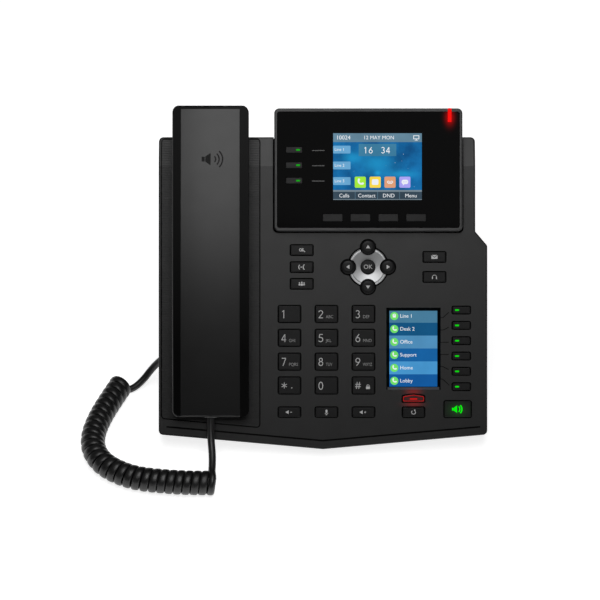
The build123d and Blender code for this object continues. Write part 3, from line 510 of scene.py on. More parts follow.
ICONS = {
    "hold_key": [[circle(-0.75, 0.1, 1.0, 20), circle(-0.75, 0.1, 0.55, 16)], [stroke([(0.35, 1.25), (0.55, 0.2), (0.2, -0.9)], 0.42)],
                 [stroke([(0.55, 0.1), (1.3, -0.5), (2.1, -1.25)], 0.55)], [stroke([(0.9, 1.1), (1.25, 0.6)], 0.35)]],
    "transfer_key": [[stroke(arc(-0.2, 0, 1.75, 125, 235), 0.5)], [stroke([(-0.95, 0), (-0.15, 0)], 0.42)], [[(-0.2, 0.42), (0.4, 0.0), (-0.2, -0.42)]],
                     [stroke(arc(2.9, 0, 2.0, 125, 235), 0.55)]],
    "conference_key": [[circle(0, 0.85, 0.55, 16)], [rrect(-0.75, 0.75, -1.2, 0.15, 0.3)], [circle(-1.45, 0.6, 0.42, 14)], [rrect(-2.0, -0.95, -1.05, 0.05, 0.25)],
                       [circle(1.45, 0.6, 0.42, 14)], [rrect(0.95, 2.0, -1.05, 0.05, 0.25)]],
    "voicemail_key": [[[(-1.65, 1.25), (0, -0.02), (1.65, 1.25)]], [[(-1.95, 0.98), (0, -0.52), (1.95, 0.98), (1.95, -1.25), (-1.95, -1.25)]]],
    "headset_key": [[stroke(arc(0, -0.15, 1.35, 0, 180, 16), 0.36)], [rrect(-1.65, -0.95, -1.35, -0.15, 0.2)], [rrect(0.95, 1.65, -1.35, -0.15, 0.2)]],
    "volume_down_key": [*[[o] for o in speaker_icon(0.95, -0.9)], [rect(0.45, 1.65, -0.17, 0.17)]],
    "volume_up_key": [*[[o] for o in speaker_icon(0.95, -0.9)], [[(0.45, -0.17), (0.88, -0.17), (0.88, -0.6), (1.22, -0.6), (1.22, -0.17), (1.65, -0.17), (1.65, 0.17), (1.22, 0.17), (1.22, 0.6), (0.88, 0.6), (0.88, 0.17), (0.45, 0.17)]]],
    "mute_key": [[rrect(-0.6, 0.6, -0.5, 1.6, 0.58)], [stroke(arc(0, -0.1, 1.05, 200, 340, 10), 0.3)], [rect(-0.16, 0.16, -1.6, -1.2)], [rect(-0.6, 0.6, -1.85, -1.6)]],
    "redial_key": [[stroke(arc(0, 0, 1.25, 60, -225, 22), 0.42)], [[(0.15, 1.9), (1.25, 1.35), (0.45, 0.55)]]],
    "speaker_key": [*[[o] for o in speaker_icon(1.75, -1.0)], [stroke(arc(-0.9, 0, 2.3, 48, -48, 10), 0.75)], [stroke(arc(-0.9, 0, 3.6, 44, -44, 12), 0.8)]],
}
key_centre = {
    "hold_key": (-13.6, 127.5), "transfer_key": (-13.6, 116.6), "conference_key": (-13.6, 105.9), "voicemail_key": (71.3, 123.1), "headset_key": (71.3, 110.3),
    "volume_down_key": (-21.45, 23.8), "mute_key": (2.22, 23.8), "volume_up_key": (25.9, 23.8), "redial_key": (57.95, 23.75), "speaker_key": (86.15, 25.7),
}
KEY_TOP = 1.1
for name, groups in ICONS.items():
    cx, cy = key_centre[name]
    parts = [filled([move(o, cx, cy) for o in g], KEY_TOP - 0.02, KEY_TOP + (0.05 if name == "speaker_key" else 0.03)) for g in groups]
    finish_mesh(name + "_symbol", joined(parts), [icon_green if name == "speaker_key" else legend], name + "_cap")

# digits
dx3 = (-21.45, 2.22, 25.90)
dy4 = (86.6, 71.35, 56.1, 40.85)
letters = {"2": "ABC", "3": "DEF", "4": "GHI", "5": "JKL", "6": "MNO", "7": "PQRS", "8": "TUV", "9": "WXYZ"}
rows = [["1", "2", "3"], ["4", "5", "6"], ["7", "8", "9"], ["star", "0", "hash"]]
for r in range(4):
    for c in range(3):
        n = rows[r][c]
        x, y = dx3[c] - 14.85 / 2, dy4[r]
        parts = []
        if n == "star":
            for k in range(3):
                a = math.radians(90 + 60 * k)
                parts.append((filled([stroke([(x + 4.1 - 1.9 * math.cos(a), y - 1.9 * math.sin(a)), (x + 4.1 + 1.9 * math.cos(a), y + 1.9 * math.sin(a))], 0.40)], KEY_TOP - 0.02, KEY_TOP + 0.03), 0))
            parts.append((filled([circle(x + 8.9, y - 1.5, 0.36, 14)], KEY_TOP - 0.02, KEY_TOP + 0.03), 0))
        elif n == "hash":
            for k in (-0.75, 0.75):
                parts.append((filled([stroke([(x + 3.9 + k - 0.25, y - 2.1), (x + 3.9 + k + 0.25, y + 2.3)], 0.42)], KEY_TOP - 0.02, KEY_TOP + 0.03), 0))
                parts.append((filled([rect(x + 2.1, x + 5.7, y + k - 0.20, y + k + 0.22)], KEY_TOP - 0.02, KEY_TOP + 0.03), 0))
            lx, ly = x + 10.3, y - 1.3
            parts.append((filled([rrect(lx - 1.25, lx + 1.25, ly - 0.95, ly + 0.65, 0.25)], KEY_TOP - 0.02, KEY_TOP + 0.03), 0))
            parts.append((filled([stroke([(lx - 0.75, ly + 0.6), *arc(lx, ly + 1.0, 0.75, 180, 0, 10), (lx + 0.75, ly + 0.6)], 0.34)], KEY_TOP - 0.02, KEY_TOP + 0.03), 0))
        else:
            parts += [(m, 0) for m in digit(n, x + 2.3, y - 2.7, 1.0, KEY_TOP - 0.02, KEY_TOP + 0.03)]
            if n in letters:
                wide = {"2": 4.7, "3": 4.0, "4": 3.9, "5": 3.7, "6": 5.4, "7": 5.7, "8": 4.1, "9": 5.9}[n]
                parts.append((words(letters[n], x + 7.0, y - 2.7, 2.9, KEY_TOP - 0.02, KEY_TOP + 0.03, thin=0.0, width=wide, base=True), 1))
        finish_mesh(f"key_{n}_legend", joined(parts), [legend, legend_dim], f"key_{n}_cap")

# arrow keys and OK
nx, ny, nr = 28.8, 116.7, 12.75
for name, ux, uy in (("nav_up_key", 0, 1), ("nav_down_key", 0, -1), ("nav_left_key", -1, 0), ("nav_right_key", 1, 0)):
    cx, cy = nx + ux * nr, ny + uy * nr
    turn = {(0, 1): 0, (0, -1): 180, (-1, 0): 90, (1, 0): -90}[(ux, uy)]
    tri = move([(-1.35, -0.85), (1.35, -0.85), (0.12, 1.05), (-0.12, 1.05)], cx, cy, 1.0, turn)
    finish_mesh(name + "_arrow", filled([tri], 2.03, 2.08), [legend], name + "_cap")
finish_mesh("ok_key_legend", words("OK", nx, ny - 0.05, 3.9, 0.73, 0.78, "CENTER", thin=0.0), [legend], "ok_key_cap")

# lamps on the keys
for i, y in enumerate((191.4, 181.6, 171.75)):
    finish_mesh(f"line_led_{i + 1}", filled([rrect(-17.2, -14.7, y - 0.52, y + 0.52, 0.22, 3)], 5.40, 5.50), [line_led_mat], f"line_key_{i + 1}_cap")
for i in range(6):
    y = 89.1 - 9.8 * i
    finish_mesh(f"speed_dial_led_{i + 1}", filled([rrect(84.5, 87.0, y - 0.50, y + 0.50, 0.22, 3)], 1.06, 1.16), [led_mat], f"speed_dial_key_{i + 1}_cap")


# page key: a lit outline and bar
def page(grow):
    w, px, y0, y1, pk = 7.35 + grow, 57.9, 30.0, 34.2, 35.6
    m = y1 + 0.55 * (pk - y1)
    return [(px - w + 0.4, y0 - grow), (px + w - 0.4, y0 - grow), (px + w, y0 - grow + 0.4), (px + w, y1 + grow * 0.6 - 0.3), (px + w * 0.93, m + grow - 0.35), (px + w * 0.55, m + grow + 0.08),
            (px, pk + grow), (px - w * 0.55, m + grow + 0.08), (px - w * 0.93, m + grow - 0.35), (px - w, y1 + grow * 0.6 - 0.3), (px - w, y0 - grow + 0.4)]


finish_mesh("page_key_lit_edge", filled([page(-0.75), page(-1.08)], KEY_TOP - 0.02, KEY_TOP + 0.05), [red_mat], "page_key_cap")
finish_mesh("page_key_lit_bar", filled([rrect(55.5, 60.3, 32.0, 32.5, 0.2, 3)], KEY_TOP - 0.02, KEY_TOP + 0.05), [lamp_mat], "page_key_cap")

# ---------------------------------------------------------------- lines printed on the window and cut into the face
LENS = 5.2
finish_mesh("line_marks", joined([filled([rect(-7.0, 0.9, y - 0.26, y + 0.26)], LENS - 0.02, LENS + 0.02) for y in (191.0, 181.3, 171.5)]), [print_grey], "base")
lead_lines = [[(74.9, 84.2), (76.8, 84.3), (80.5, 87.7)], [(74.9, 76.2), (77.4, 76.5), (80.4, 78.1)], [(74.9, 68.5), (80.4, 68.5)],
              [(74.9, 60.7), (80.4, 60.7)], [(74.9, 53.2), (76.8, 52.9), (80.4, 51.0)], [(74.9, 45.1), (76.6, 44.9), (80.8, 41.0)]]
finish_mesh("speed_dial_guides", joined([filled([stroke(l, 0.48)], -0.02, 0.02) for l in lead_lines]), [dark_line], "base")

# ---------------------------------------------------------------- main screen
X0, X1, Y0, Y1 = 6.45, 63.05, 159.5, 202.0
S0 = LENS - 0.01
M = {k: i for i, k in enumerate(SCREEN)}


def layer(k):
    return LENS + 0.02 + 0.012 * k, LENS + 0.03 + 0.012 * k


def lx(px):
    return X0 + (px - 497) * (X1 - X0) / 608


def ly(py):
    return Y1 - (py - 257) * (Y1 - Y0) / 461


def on(k, outline, mat):
    a, b = layer(k)
    return (filled([outline], LENS if k == 0 else a - 0.012, b), M[mat])


parts = [on(0, rect(X0, X1, Y0, Y1), "sky"), on(1, rect(X0, X1, ly(318), Y1), "bar"), on(1, rect(X0, X1, Y0, ly(650)), "foot"), on(2, rect(X0, X1, ly(662), ly(650)), "foot_hi"), on(2, rect(X0, X1, Y0, ly(713)), "foot_hi")]
for py in (370, 480, 588):
    parts.append(on(1, rrect(X0, lx(616), ly(py + 27), ly(py - 27), 0.5, 3), "tag"))
parts.append(on(1, rect(lx(672), lx(930), ly(415), ly(330)), "pane"))
for i, k in enumerate(("lime", "yellow", "copper", "lilac")):
    cx = lx(683 + 102 * i)
    parts.append(on(1, rrect(cx - 3.55, cx + 3.55, ly(596) - 3.55, ly(596) + 3.55, 0.8, 4), k))
cy = ly(596)
parts.append(on(2, move(handset_icon(1.32, -45), lx(683) + 0.1, cy + 0.05), "white"))
parts.append(on(2, rrect(lx(785) - 2.1, lx(785) + 2.1, cy - 1.7, cy + 1.9, 0.9), "white"))
for s in (-1.05, 1.05):
    parts.append((filled([circle(lx(887) + s, cy + 0.1, 0.85, 16), circle(lx(887) + s, cy + 0.1, 0.45, 14)], layer(1)[0], layer(2)[1]), M["white"]))
parts.append(on(2, rect(lx(887) - 1.05, lx(887) + 1.05, cy - 0.95, cy - 0.6), "white"))
parts.append(on(2, rrect(lx(989) - 2.1, lx(989) + 2.1, cy - 1.2, cy + 1.6, 1.2), "white"))
parts.append(on(2, [(lx(989) - 1.2, cy - 1.0), (lx(989) - 0.1, cy - 1.0), (lx(989) - 1.3, cy - 2.2)], "white"))
for s in (-0.9, 0.0, 0.9):
    parts.append(on(3, circle(lx(989) + s, cy + 0.2, 0.26, 10), "lilac"))
for px, py, r in ((978, 402, 0.22), (922, 462, 0.2), (968, 448, 0.12), (1052, 626, 0.15), (640, 520, 0.1), (1010, 500, 0.1), (860, 480, 0.08)):
    parts.append(on(1, circle(lx(px), ly(py), r, 8), "soft_white"))
# the computer symbol at the top right
nxm, nym = lx(1067), ly(288)
parts.append((filled([rect(nxm - 1.9, nxm + 1.9, nym - 0.9, nym + 1.5), rect(nxm - 1.45, nxm + 1.45, nym - 0.5, nym + 1.1)], layer(1)[0], layer(2)[1]), M["white"]))
parts.append(on(2, rect(nxm - 0.25, nxm + 0.25, nym - 1.5, nym - 0.9), "white"))
parts.append(on(2, rect(nxm - 1.0, nxm + 1.0, nym - 1.75, nym - 1.45), "white"))


def say(text, px, py, size, mat="white", align="CENTER", squeeze=1.0, thin=0.0):
    a, b = layer(3)
    parts.append((words(text, lx(px), ly(py), size, a - 0.02, b, align, squeeze, thin), M[mat]))


say("10024", 517, 288, 3.7, align="LEFT")
say("12 MAY MON", 810, 288, 3.3)
for n, px in zip("1634", (708, 742, 827, 861)):
    parts += [(m, M["white"]) for m in digit(n, lx(px), ly(396), 0.78, layer(3)[0] - 0.02, layer(3)[1], 0.62)]
for i, py in enumerate((370, 480, 588)):
    say(f"Line {i + 1}", 506, py, 2.6, align="LEFT")
for t, px in (("Calls", 573), ("Contact", 727), ("DND", 878), ("Menu", 1030)):
    say(t, px, 690, 3.4)
for px in (648, 802, 952):
    parts.append(on(2, rect(lx(px) - 0.12, lx(px) + 0.12, Y0, ly(652)), "bar"))
finish_mesh("main_screen_picture", joined(parts), list(SCREEN.values()), "base")

# ---------------------------------------------------------------- side screen
SX0, SX1, SY0, SY1 = 42.55, 73.25, 40.05, 88.65
Z = -2.45
side_mats = BAND_MATS + [SCREEN["disc"], SCREEN["white"]]
parts = []
edges = [SY1, SY1 - 7.65, SY1 - 15.9, SY1 - 24.15, SY1 - 32.45, SY1 - 40.7, SY0]
for i in range(6):
    parts.append((filled([rect(SX0, SX1, edges[i + 1], edges[i])], Z, Z + 0.03), i))
for i, t in enumerate(("Line 1", "Desk 2", "Office", "Support", "Home", "Lobby")):
    yc = SY1 - 3.4 - 8.3 * i
    parts.append((filled([circle(45.7, yc, 2.6, 28)], Z, Z + 0.045), 6))
    if i == 0:
        parts.append((filled([rrect(44.7, 46.7, yc - 0.9, yc + 0.5, 0.25)], Z, Z + 0.06), 7))
        parts.append((filled([move(handset_icon(0.62, 180), 45.7, yc + 0.75)], Z, Z + 0.06), 7))
    else:
        parts.append((filled([move(handset_icon(0.92, -45), 45.75, yc + 0.05)], Z, Z + 0.06), 7))
    parts.append((words(t, 49.3, yc, 3.3, Z, Z + 0.06), 7))
finish_mesh("side_screen_picture", joined(parts), side_mats, "base")

# ---------------------------------------------------------------- the black shadow gaps round the keys, the ring and the head
key_rows = [(f"key_{rows[r][c]}", dx3[c], dy4[r], 14.85, 11.2, 1.3) for r in range(4) for c in range(3)]
key_rows += [(n, x, 23.8, 14.85, 6.9, 1.3) for n, x in zip(("volume_down_key", "mute_key", "volume_up_key"), dx3)]
key_rows += [(n, *key_centre[n], 15.0, 7.1, 1.0) for n in ("hold_key", "transfer_key", "conference_key", "voicemail_key", "headset_key")]
key_rows += [(f"speed_dial_key_{i + 1}", 88.5, 89.1 - 9.8 * i, 12.1, 5.2, 1.1) for i in range(6)]
key_rows += [("redial_key", 57.95, 23.75, 14.75, 7.0, 1.3), ("speaker_key", 86.15, 25.7, 17.9, 11.0, 1.3)]


def frame_of(x, y, w, h, r, out_, in_):
    return [rrect(x - w / 2 - out_, x + w / 2 + out_, y - h / 2 - out_, y + h / 2 + out_, r + out_), rrect(x - w / 2 + in_, x + w / 2 - in_, y - h / 2 + in_, y + h / 2 - in_, r - in_ + 0.05)]


# painted shadow: black films laid in the gaps round the keys, the ring, the arrow keys and OK, and in a line across the
# lower face, where shade falls
gap_shadows = [filled(frame_of(x, y, w, h, r, 0.24, 0.40), -0.5, 0.012) for n, x, y, w, h, r in key_rows]
gap_shadows.append(filled([page(0.24), page(-0.30)], -0.5, 0.012))
gap_shadows.append(filled([circle(nx, ny, 13.4, 72), circle(nx, ny, 12.44, 72)], -0.5, 0.012))
for ux, uy in ((0, 1), (0, -1), (-1, 0), (1, 0)):
    gap_shadows.append(filled([circle(nx + ux * nr, ny + uy * nr, 5.2, 48), circle(nx + ux * nr, ny + uy * nr, 4.65, 48)], -0.5, 0.94))
gap_shadows.append(filled([circle(nx, ny, 4.82, 40), circle(nx, ny, 4.49, 40)], -1.0, -0.80))
gap_shadows.append(filled([[(-100.2, 13.92), (0, 5.05), (100.6, 13.92), (100.6, 14.88), (0, 6.02), (-100.2, 14.88)]], -0.5, 0.012))
finish_mesh("key_shadow_gaps", joined(gap_shadows), [gap_black], "base")


def on_face(v):
    return 0.0 if v < 181.3 else -(v - 181.3) * math.tan(math.radians(12.0))


def ribbon(pts, width, high=0.015, deep=0.4):
    """a closed strip along the points of the face, (x, v), that follows the fall above the crease"""
    vs, fs = [], []
    n = len(pts)
    for i, (x, y) in enumerate(pts):
        a, b = pts[max(i - 1, 0)], pts[min(i + 1, n - 1)]
        dx, dy = b[0] - a[0], b[1] - a[1]
        k = math.hypot(dx, dy)
        ox, oy = -dy / k * width / 2, dx / k * width / 2
        for px, py in ((x + ox, y + oy), (x - ox, y - oy)):
            vs += [(px, py, on_face(py) + high), (px, py, on_face(py) - deep)]
    for i in range(n - 1):
        a, b = 4 * i, 4 * i + 4
        fs += [(a, b, b + 2, a + 2), (a + 1, a + 3, b + 3, b + 1), (a, a + 1, b + 1, b), (a + 2, b + 2, b + 3, a + 3)]
    fs += [(0, 2, 3, 1), (4 * n - 4, 4 * n - 3, 4 * n - 1, 4 * n - 2)]
    me = bpy.data.meshes.new("ribbon")
    me.from_pydata(vs, [], fs)
    return me


def side_run(x, y0, y1):
    return [(x, y0 + (min(y1, 181.29) - y0) * i / 4) for i in range(5)] + ([(x, 181.31), (x, y1)] if y1 > 181.3 else [])


HEAD = (-31.2, 89.0, 139.4)
head_line = side_run(HEAD[0] - 0.42, HEAD[2] + 2.2, 199.0)[::-1] + [(HEAD[0] - 0.42 + 2.6 - 2.6 * math.cos(t), HEAD[2] + 2.15 - 2.6 * math.sin(t)) for t in [math.pi / 2 * i / 6 for i in range(1, 7)]]
head_line += [(x, HEAD[2] - 0.45) for x in (0.0, 30.0, 60.0)]
head_line += [(HEAD[1] + 0.42 - 2.6 + 2.6 * math.sin(t), HEAD[2] + 2.15 - 2.6 * math.cos(t)) for t in [math.pi / 2 * i / 6 for i in range(0, 7)]] + side_run(HEAD[1] + 0.42, HEAD[2] + 2.3, 199.0)
finish_mesh("head_shadow_gap", ribbon(head_line, 0.95), [gap_black], "base")


def corner(cx, cy, r, a0, a1):
    return arc(cx, cy, r, a0, a1, 5)


panel_line = [(-103.4, 198.8 - 2.0), (-103.4, 181.31), (-103.4, 181.29)] + [(-103.4, v) for v in (150, 110, 70, 40)] + corner(-101.4, 21.6, 2.0, 180, 265) + [(-71.7, 16.75)] + corner(-42.4, 16.1, 2.0, 265, 360)
panel_line += [(-40.4, v) for v in (40, 70, 110, 150)] + [(-40.4, 181.29), (-40.4, 181.31), (-40.4, 196.8)] + corner(-42.4, 196.8, 2.0, 0, 90) + [(-71.7, 198.8)] + corner(-101.4, 196.8, 2.0, 90, 175)
finish_mesh("cradle_panel_groove_shadow", ribbon(panel_line, 0.72), [gap_black], "base")

# ---------------------------------------------------------------- fine ribs in the cradle
HX = -71.7
pockets = [(HX - 22.6, HX + 22.6, 158.0, 197.0), (HX - 22.6, HX + 22.6, 27.0, 64.5), (HX - 22.6, HX + 22.6, 76.0, 146.0)]
verts, faces = [], []


def surface(v):
    return 0.0 if v < 181.3 else -(v - 181.3) * math.tan(math.radians(12.0))


def rib(x0, x1, v, half=0.34, high=0.16):
    b = len(verts)
    for x in (x0, x1):
        for dv, dz in ((-half, -0.12), (half, -0.12), (half * 0.45, high), (-half * 0.45, high)):
            verts.append((x, v + dv, surface(v) + dz))
    faces.extend([(b, b + 3, b + 2, b + 1), (b + 4, b + 5, b + 6, b + 7), (b, b + 1, b + 5, b + 4), (b + 1, b + 2, b + 6, b + 5), (b + 2, b + 3, b + 7, b + 6), (b + 3, b, b + 4, b + 7)])


v = 15.6
while v < 198.2:
    left, right = -102.85, -40.95
    low_left = 19.95 - (left + 103.1) * 0.0905
    if v < 20.4:  # the lower edge of the panel slopes
        left = max(left, -40.95 - (v - 14.55) / 0.0905)
    if v > 197.4:
        left, right = left + 0.6, right - 0.6
    spans = [(left, right)]
    for x0, x1, a, b in pockets:
        if a - 0.6 < v < b + 0.6:
            spans = [(left, x0 - 0.6), (x1 + 0.6, right)]
    for a, b in spans:
        if b - a > 1.5:
            rib(a, b, v)
    v += 1.1
me = bpy.data.meshes.new("ribs")
me.from_pydata(verts, [], faces)
finish_mesh("cradle_ribs", me, [ribs_mat], "base")

# ---------------------------------------------------------------- a sound-wave mark on the handset
HY = (21.1 + 219.3) / 2
HALF = (219.3 - 21.1) / 2
BOW = (HALF ** 2 + 4.5 ** 2) / 9.0
AXIS = 21.2 - BOW


def handset_top(x, v):
    rc = (18.75 ** 2 + 0.81) / 1.8
    drop = rc - math.sqrt(max(rc * rc - (x - HX) ** 2, 0))
    return AXIS + math.sqrt((BOW - drop) ** 2 - (v - HY) ** 2)


mx, my = -70.6, 184.9
groups = [[o] for o in (move([(-1.5, -0.5), (-0.85, -0.5), (-0.85, 0.5), (-1.5, 0.5)], mx - 2.0, my, 3.0), move([(-0.72, -0.55), (0.4, -1.35), (0.4, 1.35), (-0.72, 0.55)], mx - 2.0, my, 3.0))]
groups += [[stroke(arc(mx, my, r, 48, -48, 16), 0.85)] for r in (2.4, 4.6, 6.8)]
me = joined([filled(g, 0.0, 0.06) for g in groups])
for p in me.vertices:
    p.co.z += handset_top(p.co.x, p.co.y) - 0.035
finish_mesh("handset_wave_mark", me, [mark_mat], "handset")

# ---------------------------------------------------------------- contacts in the sockets
parts = []
for x, n, v0, w0 in ((8, 8, 100.6, -20.5), (27, 8, 100.6, -20.5), (-71, 4, 92.6, -22.6)):
    for i in range(n):
        cx = x + (i - (n - 1) / 2) * 1.02
        pts = [(v0 + 1.0, w0 + 0.1), (v0 + 1.6, w0 + 1.5), (v0 + 6.0, w0 + 2.6), (v0 + 9.5, w0 + 0.3)]
        vs, fs = [], []
        for v_, w_ in pts:
            for sx, sw in ((-0.2, 0), (0.2, 0), (0.2, 0.3), (-0.2, 0.3)):
                vs.append((cx + sx, v_, w_ + sw))
        for k in range(len(pts) - 1):
            b = 4 * k
            for j in range(4):
                fs.append((b + j, b + (j + 1) % 4, b + 4 + (j + 1) % 4, b + 4 + j))
        fs += [(3, 2, 1, 0), (12, 13, 14, 15)]
        me = bpy.data.meshes.new("contact")
        me.from_pydata(vs, [], fs)
        parts.append(me)
finish_mesh("socket_contacts", joined(parts), [gold], "base")

# ---------------------------------------------------------------- the cord
R_COIL, TURNS = 5.75, 28.5
coil_z = 15.8 / 2 + 0.1
PLUG_V = 20.6
coil_route = [(-70.8, -26.2, coil_z), (-84.4, -26.2, coil_z), (-99.7, -25.1, coil_z), (-121.6, -22.0, coil_z), (-139.4, -11.7, coil_z),
              (-147.4, 1.8, coil_z), (-148.1, 15.8, coil_z), (-143.7, 32.1, coil_z), (-136.0, 50.1, coil_z), (-131.4, 59.8, coil_z)]


def at(x, v, w):
    return (x, v * C45 - w * C45, 11.0 + v * C45 + w * C45)


lead_a_route = [at(HX, PLUG_V, 7.5), at(HX, PLUG_V - 12.0, 7.5), (-70.6, -8.5, 17.0), (-70.4, -17.6, 14.3), (-70.9, -26.2, 13.2)]
lead_b_route = [at(-88.0, 85.0, -19.4), at(-88.0, 74.2, -19.4), (-90.6, 65.2, 40.2), (-97.0, 67.6, 30.8),
                (-105.0, 70.5, 21.3), (-112.0, 69.6, 12.6), (-118.3, 64.6, 5.6), (-125.8, 59.6, 2.4)]


def nurbs(points, name, res=24):
    """points read along the NURBS spline with those control points, in metres"""
    cu = bpy.data.curves.new(name, "CURVE")
    cu.dimensions = "3D"
    sp = cu.splines.new("NURBS")
    sp.points.add(len(points) - 1)
    for p, q in zip(sp.points, points):
        p.co = (*D(*q), 1)
    sp.order_u = 3
    sp.use_endpoint_u = True
    sp.resolution_u = res
    ob = bpy.data.objects.new(name, cu)
    me = bpy.data.meshes.new_from_object(ob)
    pts = [v.co.copy() for v in me.vertices]
    bpy.data.meshes.remove(me)
    bpy.data.objects.remove(ob)
    bpy.data.curves.remove(cu)
    if (pts[0] - D(*points[0])).length > (pts[-1] - D(*points[0])).length:
        pts.reverse()
    return pts


def along(pts):
    s = [0.0]
    for a, b in zip(pts, pts[1:]):
        s.append(s[-1] + (b - a).length)
    return s


def point_at(pts, s, d):
    d = min(max(d, 0.0), s[-1])
    for i in range(len(s) - 1):
        if s[i + 1] >= d:
            t = (d - s[i]) / (s[i + 1] - s[i] or 1)
            return pts[i].lerp(pts[i + 1], t), (pts[i + 1] - pts[i]).normalized()
    return pts[-1], (pts[-1] - pts[-2]).normalized()


axis = nurbs(coil_route, "coil_axis")
EXTRA = 0.004
axis = [axis[0] + (axis[0] - axis[1]).normalized() * EXTRA] + axis + [axis[-1] + (axis[-1] - axis[-2]).normalized() * EXTRA]
axis_s = along(axis)
s0, s1 = EXTRA - 0.0010, axis_s[-1] - EXTRA + 0.0004
helix = []
steps = int(TURNS * 28)
up = Vector((0, 0, 1))
for i in range(steps + 1):
    f = i / steps
    d = s0 + (s1 - s0) * f
    p, t = point_at(axis, axis_s, d)
    phi = 2 * math.pi * TURNS * f
    side = Vector((-t.y, t.x, 0)).normalized()
    helix.append(p + up * (R_COIL / 1000 * math.cos(phi)) + side * (R_COIL / 1000 * math.sin(phi)))
lead_a = nurbs(lead_a_route, "lead_a")
lead_b = nurbs(lead_b_route, "lead_b")
lead_b.reverse()


def bridge(p0, t0, p1, t1, n=8, pull=1.0):
    """points from p0 to p1 that leave along t0 and arrive along t1"""
    k = (p1 - p0).length * pull
    out = []
    for i in range(1, n):
        u = i / n
        h00, h10, h01, h11 = 2 * u ** 3 - 3 * u * u + 1, u ** 3 - 2 * u * u + u, -2 * u ** 3 + 3 * u * u, u ** 3 - u * u
        out.append(p0 * h00 + t0 * (k * h10) + p1 * h01 + t1 * (k * h11))
    return out


def trimmed(pts, d):
    """the points from a distance d along"""
    s = along(pts)
    return [p for p, q in zip(pts, s) if q > d]


a_part = trimmed(lead_a[::-1], 0.006)[::-1]
b_part = trimmed(lead_b, 0.006)
ta = (a_part[-1] - a_part[-2]).normalized()
th0 = (helix[3] - helix[2]).normalized()
th1 = (helix[-3] - helix[-4]).normalized()
tb = (b_part[1] - b_part[0]).normalized()
path = a_part + bridge(a_part[-1], ta, helix[2], th0) + helix[2:-2] + bridge(helix[-3], th1, b_part[0], tb) + b_part
# drop points of the path that fall together, closer than 0.4 mm
clean = [path[0]]
for p in path[1:]:
    if (p - clean[-1]).length > 0.0004:
        clean.append(p)
clean[-1] = path[-1]
path = clean
path_s = along(path)
coil_from = path_s[min(range(len(path)), key=lambda i: (path[i] - helix[10]).length)]
coil_to = path_s[min(range(len(path)), key=lambda i: (path[i] - helix[-10]).length)]

# past the coil the lead rests on the desk
for p, q in zip(path, path_s):
    if q > coil_to + 0.006:
        p.z = max(p.z, 0.00245)

NS = 16
verts, faces = [], []
axis_near = 0
for i, p in enumerate(path):
    a, b = path[max(i - 1, 0)], path[min(i + 1, len(path) - 1)]
    t = (b - a).normalized()
    inside = min(max((path_s[i] - coil_from) / 0.012 + 0.5, 0), 1) * min(max((coil_to - path_s[i]) / 0.012 + 0.5, 0), 1)
    # the direction that is radial in the coil, carried over smoothly into the leads
    best = min(range(axis_near, min(axis_near + 60, len(axis))), key=lambda k: (axis[k] - p).length) if 0.02 < inside else None
    if best is not None:
        axis_near = max(best - 5, 0)
        radial = p - axis[best]
    else:
        radial = prev if i else Vector((0, -1, 1))
    radial = (radial - t * radial.dot(t)).normalized()
    if i:
        keep = (prev - t * prev.dot(t)).normalized()
        radial = (keep * (1 - inside) + radial * inside).normalized()
    prev = radial
    across = t.cross(radial)
    # round in the leads, wound flat and nearly square in the coil
    ra = (2.35 + (2.15 - 2.35) * inside) / 1000
    rb = (2.35 + (2.66 - 2.35) * inside) / 1000
    power = 2 / (2 + 1.1 * inside)
    for j in range(NS):
        g = 2 * math.pi * j / NS
        c, d = math.cos(g), math.sin(g)
        verts.append(p + radial * (ra * math.copysign(abs(c) ** power, c)) + across * (rb * math.copysign(abs(d) ** power, d)))
for i in range(len(path) - 1):
    for j in range(NS):
        a, b = i * NS + j, i * NS + (j + 1) % NS
        faces.append((a, b, b + NS, a + NS))
faces.append(tuple(range(NS))[::-1])
faces.append(tuple(range((len(path) - 1) * NS, len(path) * NS)))
me = bpy.data.meshes.new("handset_cord")
me.from_pydata(verts, [], faces)
bm = bmesh.new()
bm.from_mesh(me)
bmesh.ops.recalc_face_normals(bm, faces=bm.faces)
bm.to_mesh(me)
bm.free()
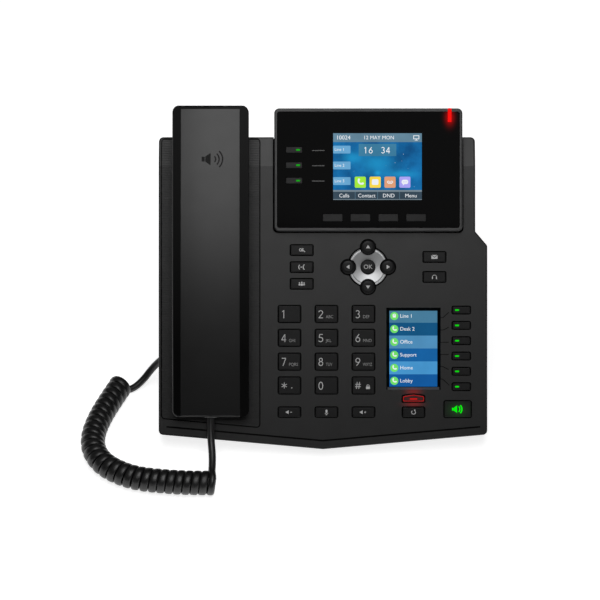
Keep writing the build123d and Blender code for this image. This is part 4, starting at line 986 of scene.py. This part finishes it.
for p in me.polygons:
    p.use_smooth = len(p.vertices) == 4
me.materials.append(cord_mat.mat)
cord = bpy.data.objects.new("handset_cord", me)
bpy.context.scene.collection.objects.link(cord)
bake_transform(cord)
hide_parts("handset_cord_coil", "handset_cord_leads")
tuple(path[0])
[tuple(p) for p in path]

# ---------------------------------------------------------------- floor, lights, camera
bpy.ops.mesh.primitive_plane_add(size=6.0, location=(0, 0.4, 0))
floor = bpy.context.object
floor.name = "studio_floor"
fm = Nodes("studio_floor_white")
fm.b.inputs["Base Color"].default_value = (0.86, 0.86, 0.86, 1)
fm.b.inputs["Roughness"].default_value = 0.9
fm.b.inputs["Specular IOR Level"].default_value = 0.1
fm.b.inputs["Emission Color"].default_value = (1, 1, 1, 1)
fm.b.inputs["Emission Strength"].default_value = 0.80
floor.data.materials.append(fm.mat)

world = bpy.data.worlds.new("studio")
bpy.context.scene.world = world
world.use_nodes = True
world.node_tree.nodes["Background"].inputs[0].default_value = (1, 1, 1, 1)
world.node_tree.nodes["Background"].inputs[1].default_value = 0.09


def softbox(name, where, target, w, h, power):
    data = bpy.data.lights.new(name, "AREA")
    data.shape = "RECTANGLE"
    data.size, data.size_y = w, h
    data.energy = power
    ob = bpy.data.objects.new(name, data)
    bpy.context.scene.collection.objects.link(ob)
    ob.location = where
    ob.rotation_euler = (Vector(target) - Vector(where)).to_track_quat("-Z", "Y").to_euler()
    return ob


softbox("key_softbox", P(-30, 473, 712), P(-20, 120, 0), 0.5, 0.70, 3.75)

cam_data = bpy.data.cameras.new("camera")
cam_data.lens = 200.0
cam_data.sensor_width = 36.0
cam = bpy.data.objects.new("camera", cam_data)
bpy.context.scene.collection.objects.link(cam)
aim = P(-14.72, 95.55, 0)
dist = 0.384 * 200.0 / 36.0
out = Vector((0, -C45, C45))
cam.location = aim + out * dist
cam.rotation_euler = (-out).to_track_quat("-Z", "Y").to_euler()
cam_data.clip_end = 50.0
bpy.context.scene.camera = cam
bpy.context.scene.view_settings.view_transform = "Standard"
bpy.context.scene.view_settings.look = "None"
